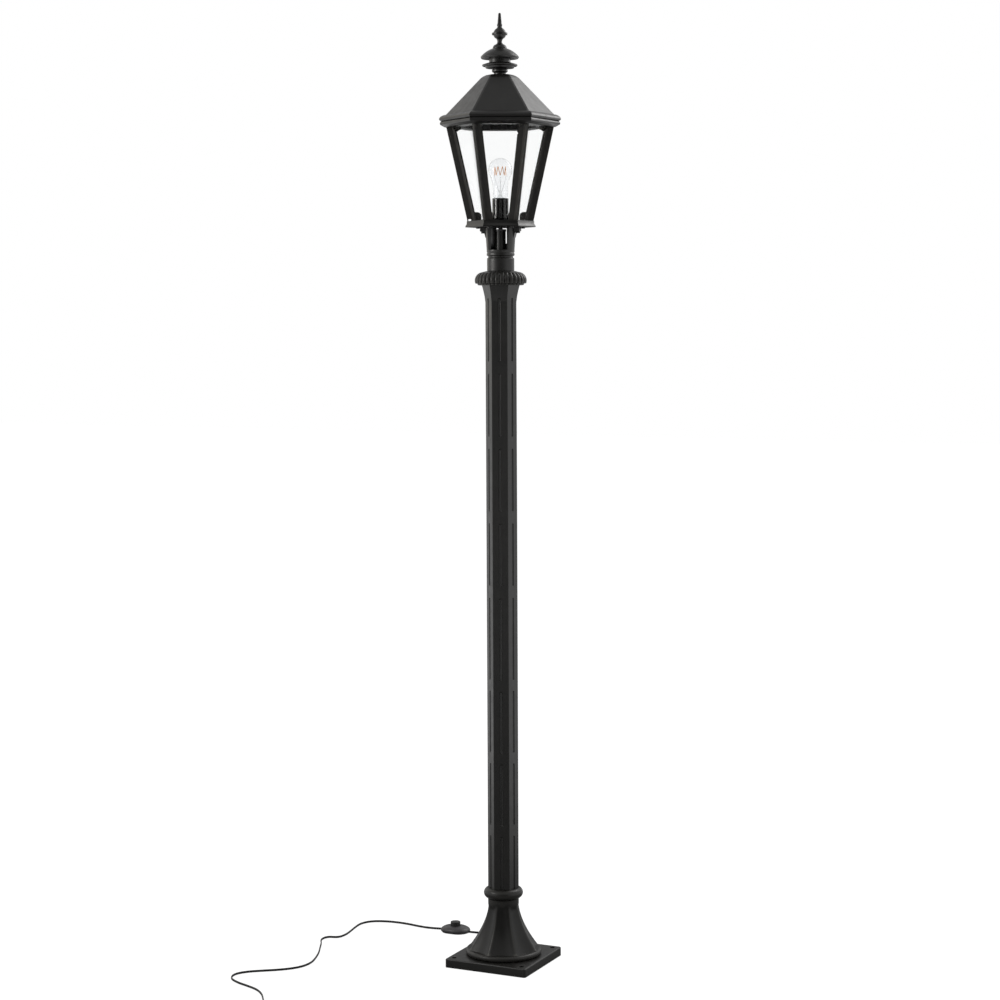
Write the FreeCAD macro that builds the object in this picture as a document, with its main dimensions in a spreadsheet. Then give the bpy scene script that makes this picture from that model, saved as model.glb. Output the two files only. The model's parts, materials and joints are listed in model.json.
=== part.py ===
"""Lantern post light: a hexagonal lantern on a fluted two-piece post with a cast base.

Millimetres, +Z up. The origin is on the floor under the post's axis, and the sides of the square
base plate lie along X and Y.
"""
import FreeCAD, Part
import Sketcher
import math
import os

Z_AXIS = FreeCAD.Vector(0, 0, 1)
COS30 = math.cos(math.radians(30))
LEFT, RIGHT = 1, -1

SIZES = {
    # clearances
    "fit_gap": 0.3, "thread_gap": 0.1, "slide_gap": 0.4,
    # base plate
    "plate_width": 202, "plate_thickness": 20, "plate_corner": 5, "plate_edge": 3,
    "bolt_spacing": 170, "bolt_hole": 11, "plate_bore": 84, "channel_width": 11,
    "channel_height": 14, "lead_height": 8,
    # pedestal on the plate: round lip, octagonal flare, neck and torus
    "lip_radius": 87, "lip_height": 13, "flare_foot": 79, "flare_neck": 36, "flare_height": 116,
    "pedestal_neck": 35.2, "neck_height": 14,
    "torus_radius": 45, "torus_height": 24, "spigot_length": 32, "cavity_radius": 60,
    "cavity_top_radius": 22, "cavity_height": 90, "pedestal_screw_radius": 70,
    "pedestal_screw_length": 30, "screw_shank": 5, "screw_head": 9, "screw_head_height": 4,
    # post: hexagonal, one broken flute in each face
    "post_flats": 61.6, "post_bore": 40, "post_edge": 1.6, "post_turn": 19, "lower_post_length": 538,
    "upper_post_length": 806, "flute_width": 7, "flute_depth": 2.4, "flute_length": 143.5,
    "lower_flute_pitch": 167.5, "upper_flute_pitch": 170.2, "short_flute": 56,
    "flute_rise": 8, "capital_height": 37, "capital_corner": 43,
    "coupler_length": 80, "tie_tube": 16, "tie_bore": 11, "tie_end_gap": 14,
    "tie_nut_width": 26, "tie_nut_height": 8, "tie_thread_end": 5, "lead_diameter": 6,
    "lead_bend": 36,
    # gadrooned collar
    "collar_radius": 58, "collar_under": 52, "collar_edge": 5, "collar_curve": 19,
    "collar_shoulder": 45.5, "collar_height": 32, "collar_top": 33.5, "gadroon_cut": 6.6,
    "gadroon_depth": 2.9, "gadroons": 28,
    # cradle under the lantern
    "cradle_neck": 30.8, "cradle_neck_length": 29, "cradle_groove": 28.2, "groove_height": 6,
    "cradle_band": 31.5, "band_height": 13, "cradle_top": 34.6, "leg_length": 41.5,
    "cradle_bore": 50, "cradle_floor": 18, "cradle_turn": 10.4, "leg_half_angle": 45, "pad_reach": 46.5,
    "pad_width": 18, "pad_thickness": 9.5, "pad_screw_radius": 41, "pad_screw_length": 14.5,
    "sleeve_width": 24, "sleeve_wall": 2, "sleeve_foot": 38.4, "sleeve_foot_height": 12,
    "sleeve_shoulder": 6, "sleeve_top_gap": 7,
    # lantern cage
    "lantern_turn": 26, "ring_corner": 76, "ring_foot_corner": 79.5, "ring_lip": 2.5,
    "ring_thickness": 14, "ring_bore": 60, "cage_height": 210.5, "bar_foot_corner": 74.8,
    "bar_top_corner": 121.3, "bar_rib": 11, "bar_rib_width": 5, "bar_leg": 14,
    "bar_leg_thickness": 4, "lug_width": 10, "lug_reach": 16, "lug_height": 20, "lug_round": 9,
    "top_lug_reach": 18, "top_lug_height": 12, "top_lug_edge": 4, "leg_cut": 9, "leg_stub": 6,
    "rib_slot": 6, "rib_slot_inset": 2.4, "rib_slot_height": 4.5, "lug_screw": 4,
    "lug_screw_grip": 9, "lug_screw_head": 8, "lug_screw_head_height": 3.2,
    "pane_thickness": 3, "pane_edge": 8.5, "pane_end_gap": 0.8, "cornice_corner": 137.7,
    "cornice_inset": 1.8, "cornice_foot": 13, "cornice_notch": 3.6, "cage_ring_thickness": 14,
    "cage_ring_bore": 90, "cage_rim_height": 5,
    "cage_rim_width": 2.6,
    # roof
    "roof_lobe": 14, "roof_foot_corner": 123.5, "roof_shoulder_corner": 44.6, "roof_crown_corner": 39.5,
    "roof_top_corner": 32, "roof_slope_height": 81.5, "roof_crown_height": 7,
    "roof_bore_corner": 105, "roof_wall": 8, "hip_width": 5,
    # vent stack and finial
    "vent_neck": 13.4, "vent_neck_height": 6.5, "vent_collar": 17.8, "vent_collar_height": 7,
    "saucer_step": 32, "saucer_step_height": 6, "saucer_radius": 39.8, "saucer_edge": 4.5,
    "saucer_height": 14, "drum_radius": 24, "drum_height": 15, "drum_wall": 4, "cap_radius": 43.2,
    "cap_height": 23, "cap_drop": 6, "cap_edge": 4, "cap_curve": 58, "cap_crown": 15.4,
    "rod_diameter": 6, "rod_nut_width": 13, "rod_nut_height": 6, "finial_dome": 15.7,
    "finial_dome_height": 15, "finial_neck": 5.3, "finial_ball": 14.2, "finial_ball_rise": 17.5,
    "finial_ring": 17.4, "finial_ring_height": 4.4, "finial_bead": 6.2, "finial_spike": 23.8,
    "finial_spike_foot": 4.8, "finial_tip": 3,
    # lamp holder and lamp
    "bridge_width": 24, "bridge_length": 86, "bridge_thickness": 3, "bridge_screw_radius": 36.5,
    "bridge_screw_grip": 8,
    "nipple_diameter": 10, "nipple_bore": 7.5, "nipple_drop": 34, "nipple_rise": 8,
    "nipple_nut_width": 16, "nipple_nut_height": 6, "holder_foot": 39, "holder_foot_height": 11,
    "holder_width": 36.6, "holder_height": 37, "holder_wall": 3, "holder_floor": 4,
    "shell_width": 29.4, "shell_wall": 0.8, "shell_height": 28, "contact_width": 10,
    "contact_height": 6, "lamp_contact_width": 9, "lamp_contact_height": 2.5,
    "lamp_cap_width": 26.4, "lamp_cap_height": 24, "bulb_width": 54.5, "bulb_height": 91,
    "bulb_neck": 26.6, "bulb_shoulder": 33, "bulb_throat": 34.8, "bulb_throat_height": 20.5,
    "bulb_wall": 0.9,
    "stem_width": 15, "stem_waist": 5, "stem_bead": 6.8, "stem_bead_height": 14, "stem_tip": 2.4,
    "stem_height": 49, "filament_wire": 0.8, "filament_radius": 13, "filament_height": 21,
    "filament_foot": 51, "filament_turn": 24.8, "filament_strands": 8,
    # foot switch
    "switch_x": -212.5, "switch_y": 176, "switch_turn": 1.2, "switch_length": 72,
    "switch_width": 56, "switch_base_height": 2, "switch_height": 15, "switch_wall": 2.5,
    "switch_lead_height": 3.2, "button_width": 24, "button_rise": 10, "button_flange": 1.4,
    "button_flange_height": 1.5, "button_edge": 1.2, "spring_wire": 0.9, "spring_radius": 5,
    "spring_turns": 4,
    # mains lead, its put-away coil and the plug
    "cord_diameter": 5.2, "coil_radius": 28.5, "coil_turns": 3, "coil_gap": 0.5,
    "tie_band": 1.2, "tie_band_width": 6, "relief_length": 24, "relief_root": 10,
    "relief_tip": 7, "relief_flange": 13, "relief_seat": 10, "plug_width": 35, "plug_height": 14,
    "plug_length": 30, "plug_relief_length": 22, "plug_lead_run": 30, "pin_diameter": 4,
    "pin_spacing": 19, "pin_length": 19,
}

# Route of the lead from the base to the foot switch, between its two ends
BASE_ROUTE = [(-1, 147, 4), (-12, 168, 2.8), (-38, 184, 2.8), (-74, 190, 2.8), (-112, 187, 2.8),
              (-149, 181.5, 2.8)]
# Route from the foot switch across the floor to the start of the coil
FLOOR_ROUTE = [(-277, 169, 2.8), (-310, 172, 2.8), (-350, 181, 2.8), (-394, 181, 2.8),
               (-434, 168, 2.8), (-452, 138, 2.8), (-447, 98, 2.8), (-440, 62, 2.8),
               (-436, 34, 2.8), (-440, 5, 2.8), (-468, 0, 2.8), (-470, -28, 2.8), (-453, -54, 2.8),
               (-437, -88, 2.8), (-419, -124, 2.8), (-404, -164, 2.8), (-392, -206, 2.8),
               (-398, -246, 2.8), (-424, -278, 2.8), (-460, -304, 2.8), (-490, -326, 2.8),
               (-507, -354, 2.8), (-497, -386, 2.8), (-466, -406, 2.8), (-430, -419, 2.8),
               (-396, -434, 2.8), (-370, -458, 2.8), (-350, -486, 2.8), (-327, -520, 4.1),
               (-303, -556, 4.1)]

DOC = FreeCAD.newDocument("lantern_post_light")
SHEET = DOC.addObject("Spreadsheet::Sheet", "dims")
NODES = []


class Size:
    """A length with the sheet expression that gives it; sums and products keep both."""

    def __init__(self, value, text):
        self.value = value
        self.text = text

    def __add__(self, other):
        return Size(self.value + value_of(other), "(%s + %s)" % (self.text, text_of(other)))

    def __radd__(self, other):
        return Size(value_of(other) + self.value, "(%s + %s)" % (text_of(other), self.text))

    def __sub__(self, other):
        return Size(self.value - value_of(other), "(%s - %s)" % (self.text, text_of(other)))

    def __rsub__(self, other):
        return Size(value_of(other) - self.value, "(%s - %s)" % (text_of(other), self.text))

    def __mul__(self, other):
        return Size(self.value * value_of(other), "(%s * %s)" % (self.text, text_of(other)))

    __rmul__ = __mul__

    def __truediv__(self, other):
        return Size(self.value / value_of(other), "(%s / %s)" % (self.text, text_of(other)))

    def __neg__(self):
        return Size(-self.value, "(-1 * %s)" % self.text)


def value_of(size):
    return size.value if isinstance(size, Size) else float(size)


def text_of(size):
    return size.text if isinstance(size, Size) else "%.9f" % size


def root(size):
    return Size(math.sqrt(size.value), "sqrt(%s)" % size.text)


def cosine(angle):
    return Size(math.cos(math.radians(angle.value)), "cos(%s * 1 deg)" % angle.text)


def sine(angle):
    return Size(math.sin(math.radians(angle.value)), "sin(%s * 1 deg)" % angle.text)


class Dims:
    """The sheet's sizes, one attribute for each alias."""


def fill_sheet():
    dims = Dims()
    for row, (name, value) in enumerate(SIZES.items(), start=1):
        SHEET.set("A%d" % row, name)
        SHEET.set("B%d" % row, str(value))
        SHEET.setAlias("B%d" % row, name)
        setattr(dims, name, Size(float(value), "dims." + name))
    DOC.recompute()
    return dims


S = fill_sheet()
FLOOR = S.plate_thickness * 0


def bind(thing, prop, size):
    """Ties a property to the sheet."""
    thing.setExpression(prop, text_of(size))


def place(thing, x=0, y=0, z=0, turn=None):
    """Puts a sub-part at a point and turns it about the vertical there."""
    angle = 0 if turn is None else value_of(turn)
    spot = FreeCAD.Vector(value_of(x), value_of(y), value_of(z))
    thing.Placement = FreeCAD.Placement(spot, FreeCAD.Rotation(Z_AXIS, angle))
    for name, size in (("Base.x", x), ("Base.y", y), ("Base.z", z), ("Rotation.Angle", turn)):
        if isinstance(size, Size):
            bind(thing, "Placement." + name, size)


def new_body(label, turn=None):
    """A sub-part's body, turned about the post's axis where an angle is given."""
    body = DOC.addObject("PartDesign::Body", label)
    body.Label = label
    if turn is not None:
        place(body, turn=turn)
    NODES.append(body)
    return body


def new_node(kind, label):
    thing = DOC.addObject(kind, label)
    thing.Label = label
    NODES.append(thing)
    return thing


def origin_item(body, role):
    return next(item for item in body.Origin.OriginFeatures if item.Role == role)


def new_sketch(body, role="XZ_Plane", level=None):
    """A sketch on one of the body's origin planes, moved along its normal to a level."""
    sketch = body.newObject("Sketcher::SketchObject", "Sketch")
    sketch.AttachmentSupport = [(origin_item(body, role), "")]
    sketch.MapMode = "FlatFace"
    if level is not None:
        bind(sketch, "AttachmentOffset.Base.z", level)
    return sketch


def flat(point):
    return FreeCAD.Vector(value_of(point[0]), value_of(point[1]), 0)


def arc_between(start, end, side, radius):
    """The smaller arc from start to end that turns to the given side."""
    chord = end - start
    rise = math.sqrt(max(radius * radius - chord.Length ** 2 / 4, 0))
    normal = FreeCAD.Vector(-chord.y, chord.x, 0).normalize()
    centre = (start + end) * 0.5 + normal * (rise * side)
    angles = [math.atan2(p.y - centre.y, p.x - centre.x) for p in (start, end)]
    if side == RIGHT:
        angles.reverse()
    return Part.ArcOfCircle(Part.Circle(centre, Z_AXIS, radius), angles[0], angles[1])


def position_rules(edge, end, x, y):
    """Constraints that hold one end of an edge at a point, each with the size that drives it."""
    rules = []
    for kind, axis, size in (("DistanceX", -2, x), ("DistanceY", -1, y)):
        if not isinstance(size, Size) and size == 0:
            rules.append((Sketcher.Constraint("PointOnObject", edge, end, axis), None))
        else:
            rules.append((Sketcher.Constraint(kind, -1, 1, edge, end, value_of(size)), size))
    return rules


def add_rules(sketch, rules):
    first = sketch.ConstraintCount
    sketch.addConstraint([rule for rule, size in rules])
    for index, (rule, size) in enumerate(rules):
        if isinstance(size, Size):
            bind(sketch, "Constraints[%d]" % (first + index), size)


def outline(sketch, path):
    """A closed outline; a point's third item, (side, radius), makes the edge after it an arc."""
    first = sketch.GeometryCount
    total = len(path)
    begins = []
    for index, vertex in enumerate(path):
        start = flat(vertex)
        end = flat(path[(index + 1) % total])
        if len(vertex) == 2:
            sketch.addGeometry(Part.LineSegment(start, end), False)
            begins.append(1)
        else:
            side, radius = vertex[2]
            sketch.addGeometry(arc_between(start, end, side, value_of(radius)), False)
            begins.append(1 if side == LEFT else 2)
    rules = []
    for index, vertex in enumerate(path):
        edge = first + index
        after = (index + 1) % total
        meet = Sketcher.Constraint("Coincident", edge, 3 - begins[index], first + after, begins[after])
        rules.append((meet, None))
        rules += position_rules(edge, begins[index], vertex[0], vertex[1])
        if len(vertex) == 3:
            radius = vertex[2][1]
            rules.append((Sketcher.Constraint("Radius", edge, value_of(radius)), radius))
    add_rules(sketch, rules)


def circle(sketch, x, y, radius):
    """A whole circle, tied to its centre and radius."""
    edge = sketch.addGeometry(Part.Circle(flat((x, y)), Z_AXIS, value_of(radius)), False)
    rules = position_rules(edge, 3, x, y)
    rules.append((Sketcher.Constraint("Radius", edge, value_of(radius)), radius))
    add_rules(sketch, rules)


def polygon(corner, sides, first=0.0):
    """Corners of a regular polygon, the first one at an angle from +X in degrees."""
    points = []
    for index in range(sides):
        angle = math.radians(first + 360.0 * index / sides)
        ways = [round(math.cos(angle), 9), round(math.sin(angle), 9)]
        points.append(tuple(corner * way if way else 0 for way in ways))
    return points


def rectangle(low_x, high_x, low_y, high_y):
    return [(low_x, low_y), (high_x, low_y), (high_x, high_y), (low_x, high_y)]


def stadium(length, width):
    """A slot outline about the origin, with its round ends in quarter arcs."""
    bend = width / 2
    end = length / 2
    run = end - bend
    quarter = (LEFT, bend)
    return [(run, -bend, quarter), (end, 0, quarter), (run, bend), (-run, bend, quarter),
            (-end, 0, quarter), (-run, -bend)]


def turned(body, sketch, axis="V_Axis", cut=False):
    feature = body.newObject("PartDesign::Groove" if cut else "PartDesign::Revolution", "Turned")
    feature.Profile = sketch
    feature.ReferenceAxis = (sketch, [axis])
    feature.Angle = 360
    return feature


def revolve(body, path, cut=False):
    """Turns an outline of (radius, height) points about the upright axis."""
    sketch = new_sketch(body)
    outline(sketch, path)
    return turned(body, sketch, cut=cut)


def pad(body, sketch, length, both_ways=False):
    feature = body.newObject("PartDesign::Pad", "Pad")
    feature.Profile = sketch
    bind(feature, "Length", length)
    if both_ways:
        feature.SideType = "Symmetric"
    return feature


def prism(body, paths, low, high, holes=()):
    """Pads closed outlines, with round holes (x, y, radius), from one level to another."""
    sketch = new_sketch(body, "XY_Plane", low)
    for path in paths:
        outline(sketch, path)
    for hole in holes:
        circle(sketch, *hole)
    return pad(body, sketch, high - low)


def cut_up(body, sketch, length):
    """Cuts a level sketch upwards."""
    feature = body.newObject("PartDesign::Pocket", "Pocket")
    feature.Profile = sketch
    feature.Reversed = True
    bind(feature, "Length", length)
    return feature


def cut_both_ways(body, sketch, length):
    """Cuts a sketch through to both sides of its plane."""
    feature = body.newObject("PartDesign::Pocket", "Pocket")
    feature.Profile = sketch
    feature.SideType = "Symmetric"
    bind(feature, "Length", length)
    return feature


def bore(body, low, high, holes):
    """Round holes (x, y, radius) from one level up to another."""
    sketch = new_sketch(body, "XY_Plane", low)
    for hole in holes:
        circle(sketch, *hole)
    return cut_up(body, sketch, high - low)


def loft(body, sections, cut=False, ruled=True, role="XY_Plane"):
    """Lofts through (level, outline) sections."""
    sketches = []
    for level, path in sections:
        sketch = new_sketch(body, role, level)
        outline(sketch, path)
        sketches.append(sketch)
    feature = body.newObject("PartDesign::SubtractiveLoft" if cut else "PartDesign::AdditiveLoft", "Loft")
    feature.Profile = sketches[0]
    feature.Sections = sketches[1:]
    feature.Ruled = ruled
    return feature


def around(body, feature, count):
    """Repeats a feature evenly about the post's axis."""
    pattern = body.newObject("PartDesign::PolarPattern", "Around")
    pattern.Originals = [feature]
    pattern.Axis = (origin_item(body, "Z_Axis"), [""])
    pattern.Angle = 360
    if isinstance(count, Size):
        bind(pattern, "Occurrences", count)
    else:
        pattern.Occurrences = count
    body.Tip = pattern
    return pattern


def round_edges(body, feature, radius, wanted):
    """Fillets the edges of a feature that a test picks."""
    DOC.recompute()
    names = ["Edge%d" % (i + 1) for i, edge in enumerate(feature.Shape.Edges) if wanted(edge)]
    rounding = body.newObject("PartDesign::Fillet", "Rounding")
    rounding.Base = (feature, names)
    bind(rounding, "Radius", radius)
    return rounding


def is_upright(edge):
    box = edge.BoundBox
    return box.ZLength > 1 and box.XLength < 1e-6 and box.YLength < 1e-6


def lies_outside(edge, levels, reach):
    """True for an edge flat at one of the levels whose middle is further out than a reach."""
    box = edge.BoundBox
    middle = edge.CenterOfMass
    at_level = any(abs(box.ZMin - value_of(z)) < 1e-6 for z in levels)
    return box.ZLength < 1e-6 and at_level and math.hypot(middle.x, middle.y) > reach


def cylinder(radius, height, x, y, z):
    thing = DOC.addObject("Part::Cylinder", "Cylinder")
    bind(thing, "Radius", radius)
    bind(thing, "Height", height)
    place(thing, x, y, z)
    return thing


def fuse(first, second):
    thing = DOC.addObject("Part::Fuse", "Fuse")
    thing.Base = first
    thing.Tool = second
    return thing


def group(label, things):
    """One node that holds several equal pieces as separate solids."""
    node = new_node("Part::Compound", label)
    node.Links = things


def screw(x, y, head_low, head, shank_low, shank_length, shank=None):
    """A screw: a head (radius, height) from one level and a shank from another."""
    top = cylinder(head[0], head[1], x, y, head_low)
    pin = cylinder((S.screw_shank if shank is None else shank) / 2, shank_length, x, y, shank_low)
    return fuse(top, pin)


def nut(width, height, hole, z):
    """A hexagonal nut round the post's axis."""
    block = DOC.addObject("Part::Prism", "Nut")
    block.Polygon = 6
    bind(block, "Circumradius", width / 2 / COS30)
    bind(block, "Height", height)
    place(block, z=z)
    thing = DOC.addObject("Part::Cut", "Nut")
    thing.Base = block
    thing.Tool = cylinder(hole / 2 + S.thread_gap, height, 0, 0, z)
    return thing


def on_circle(radius, angle):
    """A point on a circle about the post's axis, at an angle that is a size."""
    return radius * cosine(angle), radius * sine(angle)


# Levels, from the floor up
PLATE_TOP = S.plate_thickness
LIP_TOP = PLATE_TOP + S.lip_height
CAVITY_TOP = PLATE_TOP + S.cavity_height
FLARE_TOP = PLATE_TOP + S.flare_height
TORUS_FOOT = FLARE_TOP + S.neck_height
POST_FOOT = TORUS_FOOT + S.torus_height
POST_JOINT = POST_FOOT + S.lower_post_length
CAPITAL_FOOT = POST_JOINT + S.upper_post_length
COLLAR_FOOT = CAPITAL_FOOT + S.capital_height
CRADLE_FOOT = COLLAR_FOOT + S.collar_height
CRADLE_FLOOR = CRADLE_FOOT + S.cradle_floor
GROOVE_FOOT = CRADLE_FOOT + S.cradle_neck_length
BAND_FOOT = GROOVE_FOOT + S.groove_height
WINDOW_FOOT = BAND_FOOT + S.band_height
PAD_FOOT = WINDOW_FOOT + S.leg_length
RING_FOOT = PAD_FOOT + S.pad_thickness
RING_TOP = RING_FOOT + S.ring_thickness
CAGE_TOP = RING_TOP + S.cage_height
EAVES = CAGE_TOP + S.cage_ring_thickness
ROOF_FOOT = EAVES + S.roof_lobe
ROOF_SHOULDER = ROOF_FOOT + S.roof_slope_height
ROOF_TOP = ROOF_SHOULDER + S.roof_crown_height
ROOF_CEILING = ROOF_SHOULDER - S.roof_wall / 2
COLLAR_LEVEL = ROOF_TOP + S.vent_neck_height
SAUCER_FOOT = COLLAR_LEVEL + S.vent_collar_height
DRUM_FOOT = SAUCER_FOOT + S.saucer_height
DRUM_TOP = DRUM_FOOT + S.drum_height
CAP_EDGE = DRUM_TOP - S.cap_drop
CAP_TOP = CAP_EDGE + S.cap_height
FINIAL_NECK = CAP_TOP + S.finial_dome_height
BALL_LEVEL = FINIAL_NECK + S.finial_ball_rise
BRIDGE_TOP = RING_TOP + S.bridge_thickness
HOLDER_FOOT = BRIDGE_TOP + S.holder_foot_height
HOLDER_FLOOR = HOLDER_FOOT + S.holder_floor
LAMP_FOOT = HOLDER_FLOOR + S.contact_height
LAMP_CAP_FOOT = LAMP_FOOT + S.lamp_contact_height
BULB_FOOT = LAMP_CAP_FOOT + S.lamp_cap_height

# Shared radii and places
TIE_HOLE = S.tie_tube / 2 + S.fit_gap
ROD_HOLE = S.rod_diameter / 2 + S.fit_gap
POST_CORNER = S.post_flats / 2 / COS30
BAR_INSET = S.bar_rib + S.bar_leg_thickness / COS30
BAR_FOOT_INSIDE = S.bar_foot_corner - BAR_INSET
BAR_TOP_INSIDE = S.bar_top_corner - BAR_INSET
FOOT_SCREW_RADIUS = BAR_FOOT_INSIDE - S.lug_reach / 2
TOP_SCREW_RADIUS = BAR_TOP_INSIDE - S.top_lug_reach / 2
HALF_PLATE = S.plate_width / 2
# The bar whose rib has a slot at its foot
SLOTTED_BAR = 3
# Shape of the pedestal's flare: how fast it widens, and its hollow sides' radius over their length
FLARE_POWER = 1.69
FLARE_HOLLOW = 1.3
# How fast the post's capital widens
CAPITAL_POWER = 1.4
# Angle that each groove of the collar runs about the dome's own centre
GADROON_SWEEP = 150


def octagon(half_width):
    return polygon(half_width / math.cos(math.radians(22.5)), 8)


def make_base_plate():
    body = new_body("base_plate")
    block = prism(body, [rectangle(-HALF_PLATE, HALF_PLATE, -HALF_PLATE, HALF_PLATE)], FLOOR, PLATE_TOP)
    corners = round_edges(body, block, S.plate_corner, is_upright)
    round_edges(body, corners, S.plate_edge, lambda edge: lies_outside(edge, [PLATE_TOP], 0))
    bolt = S.bolt_spacing / 2
    bolts = [(bolt * x, bolt * y, S.bolt_hole / 2) for x in (-1, 1) for y in (-1, 1)]
    screws = polygon(S.pedestal_screw_radius, 4, 45)
    bore(body, FLOOR, PLATE_TOP, bolts + [(0, 0, S.plate_bore / 2)])
    bore(body, FLOOR, PLATE_TOP, [(x, y, S.screw_shank / 2 + S.fit_gap) for x, y in screws])
    sink = S.screw_head_height + 1
    bore(body, FLOOR, sink, [(x, y, S.screw_head / 2 + S.fit_gap) for x, y in screws])
    channel = new_sketch(body, "XY_Plane", FLOOR)
    side = S.channel_width / 2
    outline(channel, rectangle(-side, side, 0, HALF_PLATE + 1))
    cut_up(body, channel, S.channel_height)
    head = (S.screw_head / 2, S.screw_head_height)
    group("pedestal_screws", [screw(x, y, sink - S.screw_head_height, head, sink,
                                    S.pedestal_screw_length - S.screw_head_height)
                              for x, y in screws])


def hollow_octagon(half_width):
    """Octagon whose sides are shallow hollows between its corners."""
    side = half_width * (2 * math.tan(math.radians(22.5)))
    return [(x, y, (RIGHT, side * FLARE_HOLLOW)) for x, y in octagon(half_width)]


def make_pedestal():
    body = new_body("base_pedestal")
    sections = [(LIP_TOP - S.lip_height / 2, hollow_octagon(S.flare_foot))]
    for share in (1, 0.92, 0.8, 0.66, 0.5, 0.34, 0.18, 0):
        half_width = S.flare_neck + (S.flare_foot - S.flare_neck) * share ** FLARE_POWER
        sections.append((FLARE_TOP - (FLARE_TOP - LIP_TOP) * share, hollow_octagon(half_width)))
    loft(body, sections)
    bend = S.lip_height / 2
    inside = S.cavity_radius - 1
    revolve(body, [(inside, PLATE_TOP), (S.lip_radius - bend, PLATE_TOP, (LEFT, bend)),
                   (S.lip_radius, PLATE_TOP + bend, (LEFT, bend)), (S.lip_radius - bend, LIP_TOP),
                   (inside, LIP_TOP)])
    spigot = S.post_bore / 2 - S.fit_gap
    swell = S.torus_height / 2
    torus_side = S.torus_radius - swell
    revolve(body, [(0, CAVITY_TOP), (S.flare_neck - 3, CAVITY_TOP), (S.pedestal_neck, FLARE_TOP),
                   (S.pedestal_neck, TORUS_FOOT), (torus_side, TORUS_FOOT + 0.2, (LEFT, swell)),
                   (S.torus_radius, TORUS_FOOT + swell, (LEFT, swell)), (torus_side, POST_FOOT),
                   (spigot, POST_FOOT), (spigot, POST_FOOT + S.spigot_length),
                   (0, POST_FOOT + S.spigot_length)])
    revolve(body, [(0, PLATE_TOP - 1), (S.cavity_radius, PLATE_TOP - 1), (S.cavity_radius, PLATE_TOP),
                   (S.cavity_top_radius, CAVITY_TOP), (0, CAVITY_TOP)], cut=True)
    bore(body, CAVITY_TOP - 1, POST_FOOT + S.spigot_length + 1, [(0, 0, TIE_HOLE)])
    grip = S.pedestal_screw_length - PLATE_TOP + S.screw_head_height
    bore(body, PLATE_TOP - 1, PLATE_TOP + grip, [(x, y, S.screw_shank / 2 + S.thread_gap)
                                                 for x, y in polygon(S.pedestal_screw_radius, 4, 45)])


def cut_flutes(body, ends):
    """Sinks hollow flutes with round ends into the faces, given the level of each flute's top."""
    bend = S.flute_width * S.flute_width / 8 / S.flute_depth + S.flute_depth / 2
    axis = S.post_flats / 2 - S.flute_depth + bend
    past = bend - S.flute_width / 2
    sketch = new_sketch(body)
    low = ends[-1] - S.flute_length * 2
    line = Part.LineSegment(flat((axis, low)), flat((axis, ends[0])))
    sketch.addGeometry(line, True)
    add_rules(sketch, position_rules(0, 1, axis, low) + position_rules(0, 2, axis, ends[0]))
    for end in ends:
        top = end + past
        foot = end - S.flute_length - past
        outline(sketch, [(axis, top, (LEFT, bend)), (axis - bend, top - bend),
                         (axis - bend, foot + bend, (LEFT, bend)), (axis, foot)])
    around(body, turned(body, sketch, "Axis0", cut=True), 6)


def is_outer_corner(edge):
    middle = edge.CenterOfMass
    return is_upright(edge) and math.hypot(middle.x, middle.y) > POST_CORNER.value - 1


def make_post():
    turn = S.post_turn - 30
    hexagon = polygon(POST_CORNER, 6, 30)
    body = new_body("post_lower", turn)
    block = prism(body, [hexagon], POST_FOOT, POST_JOINT, [(0, 0, S.post_bore / 2)])
    round_edges(body, block, S.post_edge, is_outer_corner)
    first = POST_JOINT - S.short_flute + S.flute_length
    cut_flutes(body, [first - S.lower_flute_pitch * k for k in range(4)])

    body = new_body("post_upper", turn)
    block = prism(body, [hexagon], POST_JOINT, CAPITAL_FOOT)
    round_edges(body, block, S.post_edge, is_outer_corner)
    sections = []
    for share in (0, 0.33, 0.66, 1):
        corner = POST_CORNER + (S.capital_corner - POST_CORNER) * share ** CAPITAL_POWER
        sections.append((CAPITAL_FOOT + S.capital_height * share, polygon(corner, 6, 30)))
    loft(body, sections)
    bore(body, POST_JOINT - 1, COLLAR_FOOT + 1, [(0, 0, S.post_bore / 2)])
    cut_flutes(body, [CAPITAL_FOOT + S.flute_rise - S.upper_flute_pitch * k for k in range(5)])

    half = S.coupler_length / 2
    body = new_body("post_coupler")
    outside = S.post_bore / 2 - S.fit_gap
    inside = S.tie_tube / 2 + S.thread_gap
    revolve(body, rectangle(inside, outside, POST_JOINT - half, POST_JOINT + half))


def make_tie():
    """Hollow tie tubes that clamp the post, their nuts and the lead inside them."""
    nut_foot = CAVITY_TOP - S.tie_nut_height
    nut_seat = CRADLE_FLOOR
    lower = new_body("tie_tube_lower")
    lower_end = nut_foot - S.tie_thread_end
    revolve(lower, rectangle(S.tie_bore / 2, S.tie_tube / 2, lower_end, POST_JOINT - S.tie_end_gap / 2))
    upper = new_body("tie_tube_upper")
    upper_end = nut_seat + S.tie_nut_height + S.tie_thread_end
    revolve(upper, rectangle(S.tie_bore / 2, S.tie_tube / 2, POST_JOINT + S.tie_end_gap / 2, upper_end))
    group("tie_nuts", [nut(S.tie_nut_width, S.tie_nut_height, S.tie_tube, z) for z in (nut_foot, nut_seat)])
    start = HALF_PLATE - S.relief_seat
    bend = S.lead_bend
    top = HOLDER_FOOT - S.holder_wall
    level = S.lead_height
    edges = [straight((0, start, level), (0, bend, level)),
             bent((0, bend, level), (0, bend * (1 - math.sqrt(0.5)), level + bend * (1 - math.sqrt(0.5))),
                  (0, 0, level + bend)),
             straight((0, 0, level + bend), (0, 0, top))]
    tube("lamp_lead", edges, S.lead_diameter / 2)


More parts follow.
